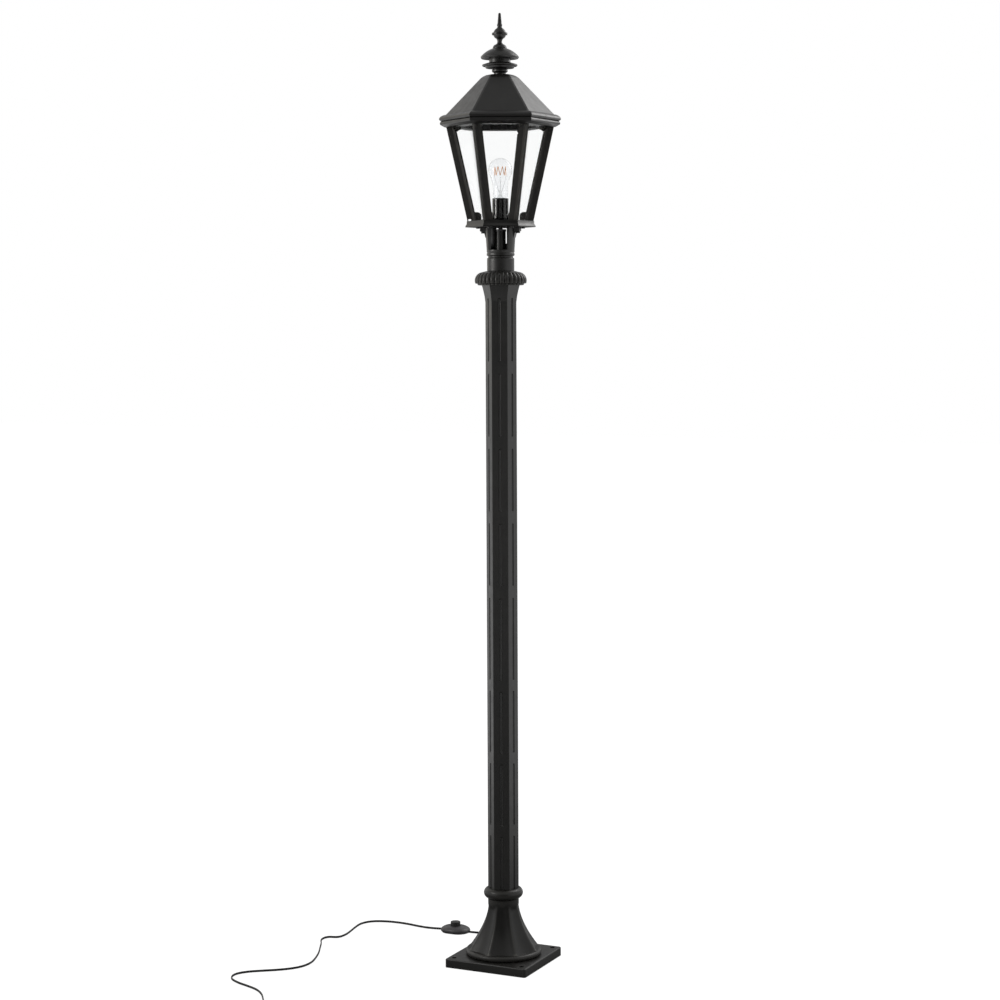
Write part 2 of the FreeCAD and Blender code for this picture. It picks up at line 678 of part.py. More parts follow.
def point_of(sizes):
    return FreeCAD.Vector(*[value_of(size) for size in sizes])


def straight(start, end):
    return Part.LineSegment(point_of(start), point_of(end)).toShape()


def bent(start, middle, end):
    return Part.Arc(point_of(start), point_of(middle), point_of(end)).toShape()


def tube(label, edges, radius, inform=False):
    """A round tube along joined lines and arcs, with its volume checked against its length."""
    wire = Part.Wire(edges)
    start = edges[0].valueAt(edges[0].FirstParameter)
    heading = edges[0].tangentAt(edges[0].FirstParameter)
    section = Part.Wire([Part.Circle(start, heading, value_of(radius)).toShape()])
    shape = wire.makePipeShell([section], True, False)
    expected = math.pi * value_of(radius) ** 2 * wire.Length
    if abs(shape.Volume / expected - 1) > 0.01:
        raise RuntimeError("%s: tube volume %.0f, expected %.0f" % (label, shape.Volume, expected))
    node = new_node("Part::Feature", label)
    node.Shape = shape
    if inform:
        print("%s: length %.0f mm" % (label, wire.Length))
    return wire.Length


def make_collar():
    """Domed collar with grooves that follow the dome from its sharp lower edge to the shoulder."""
    body = new_body("gadroon_collar")
    inside = S.post_bore / 2
    edge = COLLAR_FOOT + S.collar_edge
    shoulder = CRADLE_FOOT - 3
    revolve(body, [(inside, COLLAR_FOOT), (S.collar_under, COLLAR_FOOT), (S.collar_under, edge - 1),
                   (S.collar_radius, edge, (LEFT, S.collar_curve)),
                   (S.collar_shoulder, shoulder), (S.collar_top, CRADLE_FOOT), (inside, CRADLE_FOOT)])
    inward = S.collar_radius - S.collar_shoulder
    rise = shoulder - edge
    chord = root(inward * inward + rise * rise)
    drop = root(S.collar_curve * S.collar_curve - chord * chord / 4) / chord
    axis = (S.collar_radius + S.collar_shoulder) / 2 - rise * drop
    level = (edge + shoulder) / 2 - inward * drop
    cutter = S.gadroon_cut / 2
    sketch = new_sketch(body, "XY_Plane", level)
    line = Part.LineSegment(flat((axis, -cutter)), flat((axis, cutter)))
    sketch.addGeometry(line, True)
    add_rules(sketch, position_rules(0, 1, axis, -cutter) + position_rules(0, 2, axis, cutter))
    circle(sketch, axis + S.collar_curve - S.gadroon_depth + cutter, 0, cutter)
    groove = turned(body, sketch, "Axis0", cut=True)
    groove.Angle = GADROON_SWEEP
    groove.Midplane = True
    around(body, groove, S.gadroons)


def make_cradle():
    """Turned neck with a yoke of two legs, whose pads carry the lantern."""
    body = new_body("lantern_cradle", S.cradle_turn)
    inside = S.cradle_bore / 2
    slope = 1.5
    mid_band = BAND_FOOT + S.band_height / 2
    revolve(body, [(TIE_HOLE, CRADLE_FOOT), (S.cradle_neck, CRADLE_FOOT), (S.cradle_neck, GROOVE_FOOT),
                   (S.cradle_groove, GROOVE_FOOT + slope), (S.cradle_groove, BAND_FOOT - slope),
                   (S.cradle_band, BAND_FOOT), (S.cradle_band, mid_band - slope),
                   (S.cradle_band - 1, mid_band), (S.cradle_band, mid_band + slope),
                   (S.cradle_band, WINDOW_FOOT), (S.cradle_top, PAD_FOOT), (S.cradle_top, RING_FOOT),
                   (inside, RING_FOOT), (inside, CRADLE_FLOOR), (TIE_HOLE, CRADLE_FLOOR)])
    near = S.cradle_bore / 4
    far = S.pad_reach + 10
    begin = S.leg_half_angle
    finish = 180 - S.leg_half_angle
    window = new_sketch(body, "XY_Plane", WINDOW_FOOT)
    outline(window, [on_circle(near, begin), on_circle(far, begin), on_circle(far, finish),
                     on_circle(near, finish)])
    around(body, cut_up(body, window, RING_FOOT - WINDOW_FOOT + 1), 2)
    side = S.pad_width / 2
    pads = prism(body, [rectangle(inside + 1, S.pad_reach, -side, side)], PAD_FOOT, RING_FOOT)
    around(body, pads, 2)
    holes = polygon(S.pad_screw_radius, 2)
    bore(body, PAD_FOOT - 1, RING_FOOT + 1, [(x, y, S.screw_shank / 2 + S.fit_gap) for x, y in holes])
    head = (S.screw_head / 2, S.screw_head_height)
    spots = [on_circle(S.pad_screw_radius, S.cradle_turn + 180 * k) for k in range(2)]
    body = new_body("wire_sleeve")
    wide = S.sleeve_width / 2
    foot = S.sleeve_foot / 2
    wall = S.sleeve_wall
    top = RING_FOOT - S.sleeve_top_gap
    step = CRADLE_FLOOR + S.sleeve_foot_height
    shoulder = step + S.sleeve_shoulder
    revolve(body, [(foot - wall, CRADLE_FLOOR), (foot, CRADLE_FLOOR), (foot, step), (wide, shoulder),
                   (wide, top), (wide - wall, top), (wide - wall, shoulder - 1), (foot - wall, step - 1)])
    group("cradle_screws", [screw(x, y, PAD_FOOT - S.screw_head_height, head, PAD_FOOT, S.pad_screw_length)
                            for x, y in spots])


def make_bottom_ring():
    body = new_body("bottom_ring", S.lantern_turn)
    cove = RING_FOOT + S.ring_thickness / 2
    loft(body, [(RING_FOOT, polygon(S.ring_foot_corner, 6)),
                (RING_FOOT + S.ring_lip, polygon(S.ring_foot_corner, 6)),
                (cove, polygon(S.ring_corner + 0.6, 6)), (RING_TOP, polygon(S.ring_corner, 6))])
    bore(body, RING_FOOT - 1, RING_TOP + 1, [(0, 0, S.ring_bore / 2)])
    bore(body, RING_FOOT - 1, RING_TOP + 1, [(x, y, S.lug_screw / 2 + S.fit_gap)
                                             for x, y in polygon(FOOT_SCREW_RADIUS, 6)])
    grip = S.pad_screw_length - S.pad_thickness
    pad_spots = [on_circle(S.pad_screw_radius, S.cradle_turn - S.lantern_turn + 180 * k) for k in range(2)]
    bore(body, RING_FOOT - 1, RING_FOOT + grip, [(x, y, S.screw_shank / 2 + S.thread_gap)
                                                 for x, y in pad_spots])
    bore(body, RING_TOP - S.bridge_screw_grip, RING_TOP + 1,
         [(x, y, S.screw_shank / 2 + S.thread_gap) for x, y in polygon(S.bridge_screw_radius, 2, 30)])


def bar_section(corner, leg):
    """Level section of a corner bar: two legs along the panes and a rib that points outwards."""
    half = S.bar_rib_width / 2
    back = corner - S.bar_rib
    leg_x = back - leg / 2
    leg_y = leg * COS30
    thick = S.bar_leg_thickness
    inner_x = leg_x - thick * COS30
    inner_y = leg_y - thick / 2
    return [(corner, -half), (corner, half), (back - half / (2 * COS30), half), (leg_x, leg_y),
            (inner_x, inner_y), (back - thick / COS30, 0), (inner_x, -inner_y), (leg_x, -leg_y),
            (back - half / (2 * COS30), -half)]


def make_bar(index):
    """Corner bar with a lug at each end for the screws, its legs cut back under the cornice."""
    body = new_body("corner_bar_%d" % (index + 1), S.lantern_turn + 60 * index)
    lean = (S.bar_top_corner - S.bar_foot_corner) / S.cage_height
    cut_corner = S.bar_top_corner - lean * S.leg_cut
    loft(body, [(RING_TOP, bar_section(S.bar_foot_corner, S.bar_leg)),
                (CAGE_TOP - S.leg_cut, bar_section(cut_corner, S.bar_leg)),
                (CAGE_TOP, bar_section(S.bar_top_corner, S.leg_stub))])
    near = BAR_FOOT_INSIDE - S.lug_reach
    lug_top = RING_TOP + S.lug_height
    root_x = BAR_FOOT_INSIDE + 0.5
    lug = new_sketch(body)
    outline(lug, [(near, RING_TOP), (root_x, RING_TOP), (root_x + lean * S.lug_height, lug_top),
                  (near + S.lug_round, lug_top, (LEFT, S.lug_round)), (near, lug_top - S.lug_round)])
    pad(body, lug, S.lug_width, both_ways=True)
    near = BAR_TOP_INSIDE - S.top_lug_reach
    root_x = BAR_TOP_INSIDE + 0.5
    lug = new_sketch(body)
    outline(lug, [(root_x - lean * S.top_lug_height, CAGE_TOP - S.top_lug_height), (root_x, CAGE_TOP),
                  (near, CAGE_TOP), (near, CAGE_TOP - S.top_lug_edge)])
    pad(body, lug, S.lug_width, both_ways=True)
    hole = S.lug_screw / 2 + S.thread_gap
    bore(body, RING_TOP - 1, RING_TOP + S.lug_screw_grip, [(FOOT_SCREW_RADIUS, 0, hole)])
    bore(body, CAGE_TOP - S.lug_screw_grip, CAGE_TOP + 1, [(TOP_SCREW_RADIUS, 0, hole)])
    if index == SLOTTED_BAR:
        slot = new_sketch(body)
        outer = S.bar_foot_corner - S.rib_slot_inset
        outline(slot, rectangle(outer - S.rib_slot, outer, RING_TOP - 1, RING_TOP + S.rib_slot_height))
        cut_both_ways(body, slot, S.bar_rib_width * 2)


def make_pane(index):
    """Flat pane behind the legs of two bars."""
    body = new_body("glass_pane_%d" % (index + 1), S.lantern_turn + 60 * index + 30)
    sections = []
    for level, inside in ((RING_TOP + S.pane_end_gap, BAR_FOOT_INSIDE),
                          (CAGE_TOP - S.pane_end_gap, BAR_TOP_INSIDE)):
        front = inside * COS30 - S.fit_gap
        side = inside / 2 - S.pane_edge
        sections.append((level, rectangle(front - S.pane_thickness, front, -side, side)))
    loft(body, sections)


def make_cage():
    for index in range(6):
        make_bar(index)
    for index in range(6):
        make_pane(index)
    body = new_body("cage_top_ring", S.lantern_turn)
    bead = S.cornice_corner - S.cornice_inset
    height = S.cage_ring_thickness
    loft(body, [(CAGE_TOP, polygon(S.cornice_corner - S.cornice_foot, 6)),
                (CAGE_TOP + height * 0.30, polygon(bead - S.cornice_notch, 6)),
                (CAGE_TOP + height * 0.40, polygon(bead - S.cornice_notch * 0.3, 6)),
                (CAGE_TOP + height * 0.52, polygon(bead, 6)), (CAGE_TOP + height * 0.72, polygon(bead, 6)),
                (CAGE_TOP + height * 0.88, polygon(bead - S.cornice_notch * 0.4, 6)),
                (EAVES, polygon(bead - S.cornice_notch, 6))])
    inner = new_sketch(body, "XY_Plane", CAGE_TOP - 1)
    outline(inner, polygon(S.cage_ring_bore, 6))
    cut_up(body, inner, height + 2)
    rim = S.roof_bore_corner - S.slide_gap / COS30
    prism(body, [polygon(rim, 6), polygon(rim - S.cage_rim_width, 6)], EAVES, EAVES + S.cage_rim_height)
    bore(body, CAGE_TOP - 1, EAVES + S.cage_rim_height + 1,
         [(x, y, S.lug_screw / 2 + S.fit_gap) for x, y in polygon(TOP_SCREW_RADIUS, 6)])
    head = (S.lug_screw_head / 2, S.lug_screw_head_height)
    screws = []
    for index in range(6):
        angle = S.lantern_turn + 60 * index
        x, y = on_circle(FOOT_SCREW_RADIUS, angle)
        screws.append(screw(x, y, RING_FOOT - head[1], head, RING_FOOT,
                            S.ring_thickness + S.lug_screw_grip, S.lug_screw))
        x, y = on_circle(TOP_SCREW_RADIUS, angle)
        screws.append(screw(x, y, EAVES, head, CAGE_TOP - S.lug_screw_grip,
                            S.cage_ring_thickness + S.lug_screw_grip, S.lug_screw))
    group("bar_screws", screws)


def blunt_hexagon(corner, width):
    """Hexagon with each corner cut off square to its radius, over a given width."""
    reach = corner - width / 2 * math.tan(math.radians(30))
    points = []
    for x, y in polygon(1, 6):
        for side in (-1, 1):
            points.append((reach * x - width / 2 * side * y, reach * y + width / 2 * side * x))
    return points


def make_roof():
    body = new_body("roof_shell", S.lantern_turn)
    corner = S.cornice_corner
    sections = []
    for rise, inset in ((0, 1), (0.12, 0.4), (0.22, 0.08), (0.30, 0), (0.44, 0.1), (0.58, 0.42), (0.72, 1),
                        (0.84, 1.75), (0.94, 2.65), (1, 3.5)):
        sections.append((EAVES + S.roof_lobe * rise, polygon(corner - S.cornice_notch * inset, 6)))
    loft(body, sections)
    loft(body, [(level, blunt_hexagon(corner, S.hip_width))
                for level, corner in ((ROOF_FOOT - 1, S.roof_foot_corner + 1),
                                      (ROOF_SHOULDER, S.roof_shoulder_corner),
                                      (ROOF_SHOULDER + S.roof_crown_height / 2, S.roof_crown_corner),
                                      (ROOF_TOP, S.roof_top_corner))])
    slope = (S.roof_foot_corner - S.roof_shoulder_corner) / S.roof_slope_height
    knee = ROOF_FOOT + (S.roof_foot_corner - S.roof_wall - S.roof_bore_corner) / slope
    ceiling = S.roof_shoulder_corner - S.roof_wall + (ROOF_SHOULDER - ROOF_CEILING) * slope
    loft(body, [(EAVES, polygon(S.roof_bore_corner, 6)), (knee, polygon(S.roof_bore_corner, 6)),
                (ROOF_CEILING, polygon(ceiling, 6))], cut=True)
    bore(body, ROOF_CEILING - 1, ROOF_TOP + 1, [(0, 0, ROD_HOLE)])


def make_vent():
    """Vent stack over the roof, held by the finial's rod."""
    body = new_body("vent_saucer")
    step = SAUCER_FOOT + S.saucer_step_height
    edge = S.saucer_edge / 2
    revolve(body, [(ROD_HOLE, ROOF_TOP), (S.vent_neck, ROOF_TOP), (S.vent_neck, COLLAR_LEVEL - 2),
                   (S.vent_collar, COLLAR_LEVEL + 1), (S.vent_collar, SAUCER_FOOT - 2),
                   (S.vent_collar - 2, SAUCER_FOOT), (S.saucer_step, SAUCER_FOOT + 2),
                   (S.saucer_step + 1, step), (S.saucer_radius - edge, step, (LEFT, edge)),
                   (S.saucer_radius, step + edge, (LEFT, edge)), (S.saucer_radius - edge, step + edge * 2),
                   (S.drum_radius + 2, DRUM_FOOT), (ROD_HOLE, DRUM_FOOT)])
    body = new_body("vent_drum")
    revolve(body, rectangle(S.drum_radius - S.drum_wall, S.drum_radius, DRUM_FOOT, DRUM_TOP))
    body = new_body("vent_cap")
    revolve(body, [(ROD_HOLE, DRUM_TOP), (S.drum_radius + 4, DRUM_TOP), (S.cap_radius - 1.5, CAP_EDGE),
                   (S.cap_radius, CAP_EDGE + S.cap_edge, (LEFT, S.cap_curve)), (S.cap_crown, CAP_TOP),
                   (ROD_HOLE, CAP_TOP)])
    body = new_body("finial")
    ring = S.finial_ring_height / 2
    ball = S.finial_ball
    waist = ball * 0.62
    belt = root(ball * ball - ring * ring)
    crown = ball * 0.88
    bead = BALL_LEVEL + ball + 5
    spike = bead + 4
    tip = spike + S.finial_spike
    revolve(body, [(ROD_HOLE, CAP_TOP), (S.finial_dome, CAP_TOP), (S.finial_dome, CAP_TOP + 1.5, (LEFT, 9)),
                   (10.5, CAP_TOP + 8.5, (RIGHT, 7)), (S.finial_neck, FINIAL_NECK, (RIGHT, 9)),
                   (root(ball * ball - waist * waist), BALL_LEVEL - waist, (LEFT, ball)),
                   (belt, BALL_LEVEL - ring), (S.finial_ring, BALL_LEVEL - ring),
                   (S.finial_ring, BALL_LEVEL + ring), (belt, BALL_LEVEL + ring, (LEFT, ball)),
                   (root(ball * ball - crown * crown), BALL_LEVEL + crown, (RIGHT, 5)),
                   (S.finial_bead, bead), (S.finial_spike_foot, spike), (S.finial_tip, tip - S.finial_tip,
                                                                        (LEFT, S.finial_tip)),
                   (0, tip), (0, FINIAL_NECK - 3), (ROD_HOLE, FINIAL_NECK - 3)])
    body = new_body("finial_rod")
    radius = S.rod_diameter / 2
    nut_foot = ROOF_CEILING - S.rod_nut_height
    low = nut_foot - 3
    high = FINIAL_NECK - 3
    revolve(body, [(0, low), (radius, low), (radius, high), (0, high)])
    group("finial_nut", [nut(S.rod_nut_width, S.rod_nut_height, S.rod_diameter, nut_foot)])


def make_holder():
    """Bridge, threaded nipple and lamp holder inside the cage."""
    body = new_body("holder_bridge", S.lantern_turn + 30)
    end = S.bridge_length / 2
    side = S.bridge_width / 2
    spot = S.bridge_screw_radius
    hole = S.screw_shank / 2 + S.fit_gap
    nipple = S.nipple_diameter / 2
    prism(body, [rectangle(-end, end, -side, side)], RING_TOP, BRIDGE_TOP,
          [(0, 0, nipple + S.fit_gap), (spot, 0, hole), (-spot, 0, hole)])
    head = (S.screw_head / 2, S.screw_head_height)
    ends = [on_circle(spot, S.lantern_turn + 30 + 180 * k) for k in range(2)]
    group("bridge_screws", [screw(x, y, BRIDGE_TOP, head, RING_TOP - S.bridge_screw_grip,
                                  S.bridge_screw_grip + S.bridge_thickness) for x, y in ends])
    body = new_body("holder_nipple")
    revolve(body, rectangle(S.nipple_bore / 2, nipple, RING_TOP - S.nipple_drop,
                            BRIDGE_TOP + S.nipple_rise))
    group("nipple_nut", [nut(S.nipple_nut_width, S.nipple_nut_height, S.nipple_diameter,
                             RING_TOP - S.nipple_nut_height)])
    body = new_body("holder_foot")
    wide = S.holder_foot / 2
    wall = S.holder_wall
    revolve(body, [(nipple + S.thread_gap, BRIDGE_TOP), (wide - 2, BRIDGE_TOP), (wide, BRIDGE_TOP + 2),
                   (wide, HOLDER_FOOT - 1), (wide - 1, HOLDER_FOOT), (wide - wall, HOLDER_FOOT),
                   (wide - wall, BRIDGE_TOP + wall), (nipple + S.thread_gap, BRIDGE_TOP + wall)])
    body = new_body("holder_body")
    wide = S.holder_width / 2
    top = HOLDER_FOOT + S.holder_height
    revolve(body, [(0, HOLDER_FOOT), (wide, HOLDER_FOOT), (wide, top - 1), (wide - 1, top),
                   (wide - wall, top), (wide - wall, HOLDER_FLOOR), (0, HOLDER_FLOOR)])
    body = new_body("holder_shell")
    wide = S.shell_width / 2
    revolve(body, rectangle(wide - S.shell_wall, wide, HOLDER_FLOOR, HOLDER_FLOOR + S.shell_height))
    body = new_body("holder_contact")
    wide = S.contact_width / 2
    revolve(body, [(0, HOLDER_FLOOR), (wide, HOLDER_FLOOR), (wide * 0.6, LAMP_FOOT), (0, LAMP_FOOT)])


def bulb_path(inset):
    """Outline of the bulb's glass, moved in by the wall for the inside."""
    radius = S.bulb_width / 2 - inset
    level = BULB_FOOT + S.bulb_height - S.bulb_width / 2
    low = radius * 0.57
    side = root(radius * radius - low * low)
    throat = BULB_FOOT + S.bulb_throat_height
    neck = S.bulb_neck / 2 - inset
    return [(0, BULB_FOOT), (neck, BULB_FOOT), (neck, BULB_FOOT + 1.2),
            (S.bulb_shoulder / 2 - inset, BULB_FOOT + 3.4),
            (S.bulb_throat / 2 - inset, throat, (RIGHT, S.bulb_width)), (side, level - low, (LEFT, radius)),
            (radius, level, (LEFT, radius)), (0, level + radius)]


def make_lamp():
    """Screw-in filament lamp: contact, cap, glass, stem and filament."""
    body = new_body("lamp_contact")
    wide = S.lamp_contact_width / 2
    revolve(body, [(0, LAMP_FOOT), (wide - 1, LAMP_FOOT), (wide, LAMP_FOOT + 1), (wide, LAMP_CAP_FOOT),
                   (0, LAMP_CAP_FOOT)])
    body = new_body("lamp_cap")
    wide = S.lamp_cap_width / 2
    end = S.lamp_contact_width / 2 + 1
    revolve(body, [(0, LAMP_CAP_FOOT), (end, LAMP_CAP_FOOT), (wide, LAMP_CAP_FOOT + 6),
                   (wide, BULB_FOOT), (0, BULB_FOOT)])
    body = new_body("bulb_glass")
    revolve(body, bulb_path(S.bulb_wall * 0))
    revolve(body, bulb_path(S.bulb_wall), cut=True)
    body = new_body("bulb_stem")
    wide = S.stem_width / 2
    tip = S.stem_tip / 2
    bead = S.stem_bead / 2
    level = BULB_FOOT + S.stem_bead_height
    top = BULB_FOOT + S.stem_height
    revolve(body, [(0, BULB_FOOT), (wide, BULB_FOOT), (S.stem_waist / 2, level - 3), (bead, level),
                   (bead, level + 2.5), (tip, level + 5.5), (tip, top - tip, (LEFT, tip)), (0, top)])
    make_filament()


def make_filament():
    """Carbon filament: one wire in upright loops on half a ring, both ends held in the stem's bead."""
    count = int(S.filament_strands.value)
    radius = S.filament_radius.value
    foot = BULB_FOOT.value + S.filament_foot.value
    top = foot + S.filament_height.value
    held = S.stem_bead.value / 2 - 0.5
    level = BULB_FOOT.value + S.stem_bead_height.value + 1.2
    first = math.radians(S.filament_turn.value)
    points = [(held * math.cos(first), held * math.sin(first), level)]
    for index in range(count + 1):
        angle = first - math.pi * index / count
        points.append((radius * math.cos(angle), radius * math.sin(angle), top if index % 2 else foot))
    points.append((-points[0][0], -points[0][1], level))
    edges, radii = route_edges([FreeCAD.Vector(*p) for p in points], 0.12)
    tube("filament", edges, S.filament_wire / 2)


def route_edges(points, share=0.45):
    """Straight runs joined by tangent arcs that take a share of the shorter run beside each point."""
    edges = []
    radii = []
    start = points[0]
    for before, here, after in zip(points, points[1:], points[2:]):
        to_here = (here - before).normalize()
        onward = (after - here).normalize()
        turn = to_here.getAngle(onward)
        reach = share * min((here - before).Length, (after - here).Length)
        radius = reach / math.tan(turn / 2)
        radii.append(radius)
        first = here - to_here * reach
        last = here + onward * reach
        inward = (onward - to_here).normalize()
        middle = here + inward * (radius / math.cos(turn / 2) - radius)
        edges.append(Part.LineSegment(start, first).toShape())
        edges.append(Part.Arc(first, middle, last).toShape())
        start = last
    edges.append(Part.LineSegment(start, points[-1]).toShape())
    return edges, radii


def make_cord_run(label, points):
    edges, radii = route_edges([point_of(p) for p in points])
    print("%s: bend radii %s" % (label, " ".join("%.0f" % radius for radius in radii)))
    return tube(label, edges, S.cord_diameter / 2, inform=True)


def switch_point(along, level):
    """A point on the switch's long axis, measured from its middle."""
    x = S.switch_x + along * cosine(S.switch_turn)
    y = S.switch_y + along * sine(S.switch_turn)
    return (x, y, level)


def switch_body(label):
    body = new_body(label)
    place(body, S.switch_x, S.switch_y, 0, S.switch_turn)
    return body


def make_switch():
    """Foot switch in the lead: base, domed cover, button and its spring."""
    long = S.switch_length
    wide = S.switch_width
    wall = S.switch_wall * 2
    base_top = S.switch_base_height
    top = S.switch_height
    button = S.button_width / 2
    body = switch_body("switch_base")
    prism(body, [stadium(long - wall, wide - wall)], FLOOR, base_top)
    body = switch_body("switch_cover")
    rise = top - base_top
    crown = S.button_width + 6
    loft(body, [(base_top, stadium(long - 3, wide - 3)), (base_top + rise * 0.25, stadium(long, wide)),
                (base_top + rise * 0.6, stadium(long - 8, wide - 8)),
                (base_top + rise * 0.88, stadium(long - 26, wide - 19)),
                (top, stadium(crown + long - wide, crown))])
    loft(body, [(base_top, stadium(long - 3 - wall, wide - 3 - wall)),
                (base_top + rise * 0.5, stadium(long - 7 - wall, wide - 7 - wall)),
                (top - S.switch_wall, stadium(crown + long - wide, crown))], cut=True)
    bore(body, base_top + rise / 2, top + 1, [(0, 0, button + S.slide_gap)])
    hole = new_sketch(body, "YZ_Plane")
    circle(hole, 0, S.switch_lead_height, S.cord_diameter / 2 + S.fit_gap)
    cut_both_ways(body, hole, long + 10)
    body = switch_body("switch_button")
    flange_top = top - S.switch_wall - S.slide_gap
    flange_foot = flange_top - S.button_flange_height
    head = top + S.button_rise
    edge = S.button_edge
    flange = button + S.button_flange
    revolve(body, [(0, flange_foot), (flange, flange_foot), (flange, flange_top), (button, flange_top),
                   (button, head - edge, (LEFT, edge)), (button - edge, head), (0, head)])
    make_spring(base_top, flange_foot)


def make_spring(low, high):
    """Coil spring under the button, on arcs of half a turn."""
    wire = value_of(S.spring_wire)
    radius = value_of(S.spring_radius)
    turns = int(value_of(S.spring_turns))
    foot = value_of(low) + wire / 2 + 0.05
    climb = value_of(high) - wire / 2 - 0.05 - foot
    slope = climb / (turns * 2 * math.pi)
    points = []
    for step in range(turns * 4 + 1):
        angle = step * math.pi / 2
        out = FreeCAD.Vector(math.cos(angle), math.sin(angle), 0) * radius
        spot = out + Z_AXIS * (foot + slope * angle)
        way = Z_AXIS.cross(out) + Z_AXIS * slope
        points.append((spot, way.normalize()))
    tube("switch_spring", biarcs(points), wire / 2)
    spring = NODES[-1]
    place(spring, S.switch_x, S.switch_y, 0, S.switch_turn)


def arc_from(start, heading, end):
    """The arc that leaves a point along a heading and ends at another point."""
    chord = end - start
    along = FreeCAD.Vector(chord).normalize()
    side = heading - along * heading.dot(along)
    if side.Length < 1e-9:
        return Part.LineSegment(start, end).toShape()
    rise = math.tan(heading.getAngle(along) / 2) * chord.Length / 2
    return Part.Arc(start, (start + end) * 0.5 + side.normalize() * rise, end).toShape()


def biarcs(points):
    """Pairs of tangent arcs through (point, heading) stations."""
    edges = []
    for (start, out), (end, into) in zip(points, points[1:]):
        step = end - start
        total = out + into
        spread = 2 * (1 - out.dot(into))
        along = step.dot(total)
        if spread < 1e-12:
            reach = step.dot(step) / (2 * along)
        else:
            reach = (math.sqrt(along * along + spread * step.dot(step)) - along) / spread
        middle = (start + end + (out - into) * reach) * 0.5
        heading = (end - start - total * reach).normalize()
        edges.append(arc_from(start, out, middle))
        edges.append(arc_from(middle, heading, end))
    return edges


def coil_stations(start, heading):
    """Points and headings of the put-away coil: in along one layer, up half a turn, out along the next."""
    turns = value_of(S.coil_turns)
    pitch = value_of(S.cord_diameter + S.coil_gap)
    spiral = (turns - 0.5) / 2
    outer = value_of(S.coil_radius) + pitch * spiral / 2
    left = Z_AXIS.cross(heading)
    centre = start + left * outer
    first = math.atan2(start.y - centre.y, start.x - centre.x)
    stations = []
    steps = int(round(turns * 4))
    for index in range(steps + 1):
        turned_by = turns * index / steps
        inward = min(turned_by, turns - turned_by)
        climb = min(max(turned_by - spiral, 0) / 0.5, 1)
        radius = outer - pitch * inward
        level = start.z + pitch * climb * climb * (3 - 2 * climb)
        angle = first + 2 * math.pi * turned_by
        stations.append(FreeCAD.Vector(centre.x + radius * math.cos(angle),
                                       centre.y + radius * math.sin(angle), level))
    return centre, stations


def smooth_headings(stations, first, last):
    """Headings at the stations, each that of the circle through its neighbours."""
    headings = [first]
    for before, here, after in zip(stations, stations[1:], stations[2:]):
        back = here - before
        onward = after - here
        share = back.Length / (back.Length + onward.Length)
        way = back * ((1 - share) / back.Length) + onward * (share / onward.Length)
        headings.append(way.normalize())
    headings.append(last)
    return headings


def least_gap(edges, radius):
    """Smallest clear gap of a coiled tube to its own other turns."""
    points = []
    for edge in edges:
        points += edge.discretize(9)[:-1]
    travelled = [0.0]
    for before, here in zip(points, points[1:]):
        travelled.append(travelled[-1] + (here - before).Length)
    apart = 2 * math.pi * value_of(S.coil_radius) * 0.5
    gaps = [(points[i] - points[j]).Length for i in range(len(points)) for j in range(i)
            if travelled[i] - travelled[j] > apart]
    return min(gaps) - 2 * radius


def make_cords():
    """Lead from the base to the foot switch and on to the coil, its tie and the plug."""
    exit_y = HALF_PLATE + S.relief_length + S.slide_gap
    ends = S.switch_length / 2 - S.switch_wall
    first = make_cord_run("cord_base_run", [(0, exit_y, S.lead_height)] + BASE_ROUTE
                          + [switch_point(ends, S.switch_lead_height)])
    route = [switch_point(-ends, S.switch_lead_height)] + FLOOR_ROUTE
    second = make_cord_run("cord_floor_run", route)
    start = FreeCAD.Vector(*FLOOR_ROUTE[-1])
    heading = (start - FreeCAD.Vector(*FLOOR_ROUTE[-2])).normalize()
    centre, stations = coil_stations(start, heading)
    radius = value_of(S.cord_diameter) / 2
    run = value_of(S.plug_lead_run)
    plug_level = value_of(S.plug_height) / 2 + 0.2
    landing = stations[-1] + heading * run
    landing.z = plug_level
    headings = smooth_headings(stations, heading, heading)
    edges = biarcs(list(zip(stations, headings)) + [(landing, heading)])
    end = landing + heading * (2 * radius)
    edges.append(Part.LineSegment(landing, end).toShape())
    third = tube("cord_coil", edges, radius, inform=True)
    print("cord_coil: least gap %.2f mm" % least_gap(edges[:-3], radius))
    print("lead: %.0f mm in all" % (first + second + third + value_of(S.switch_length)))
    make_coil_tie(centre, stations)
    make_plug(end, math.degrees(math.atan2(heading.y, heading.x)))


def make_coil_tie(centre, stations):
    """Strap round the bundled turns, on the far side of the coil from where the lead comes in."""
    radius = value_of(S.cord_diameter) / 2
    gap = value_of(S.fit_gap)
    band = value_of(S.tie_band)
    start = stations[0] - centre
    angle = math.degrees(math.atan2(start.y, start.x)) + 90
    reaches = [math.hypot(p.x - centre.x, p.y - centre.y) for p in stations]
    levels = [p.z for p in stations]
    inner = min(reaches) - radius - gap
    outer = max(reaches) + radius + gap
    low = min(levels) - radius - gap / 3
    high = max(levels) + radius + gap
    width = value_of(S.tie_band_width)
    loop = Part.makeBox(outer - inner + 2 * band, width, high - low + 2 * band,
                        FreeCAD.Vector(inner - band, -width / 2, low - band))
    hole = Part.makeBox(outer - inner, width, high - low, FreeCAD.Vector(inner, -width / 2, low))
    node = new_node("Part::Feature", "coil_tie")
    node.Shape = loop.cut(hole)
    spot = FreeCAD.Vector(centre.x, centre.y, 0)
    node.Placement = FreeCAD.Placement(spot, FreeCAD.Rotation(Z_AXIS, angle))


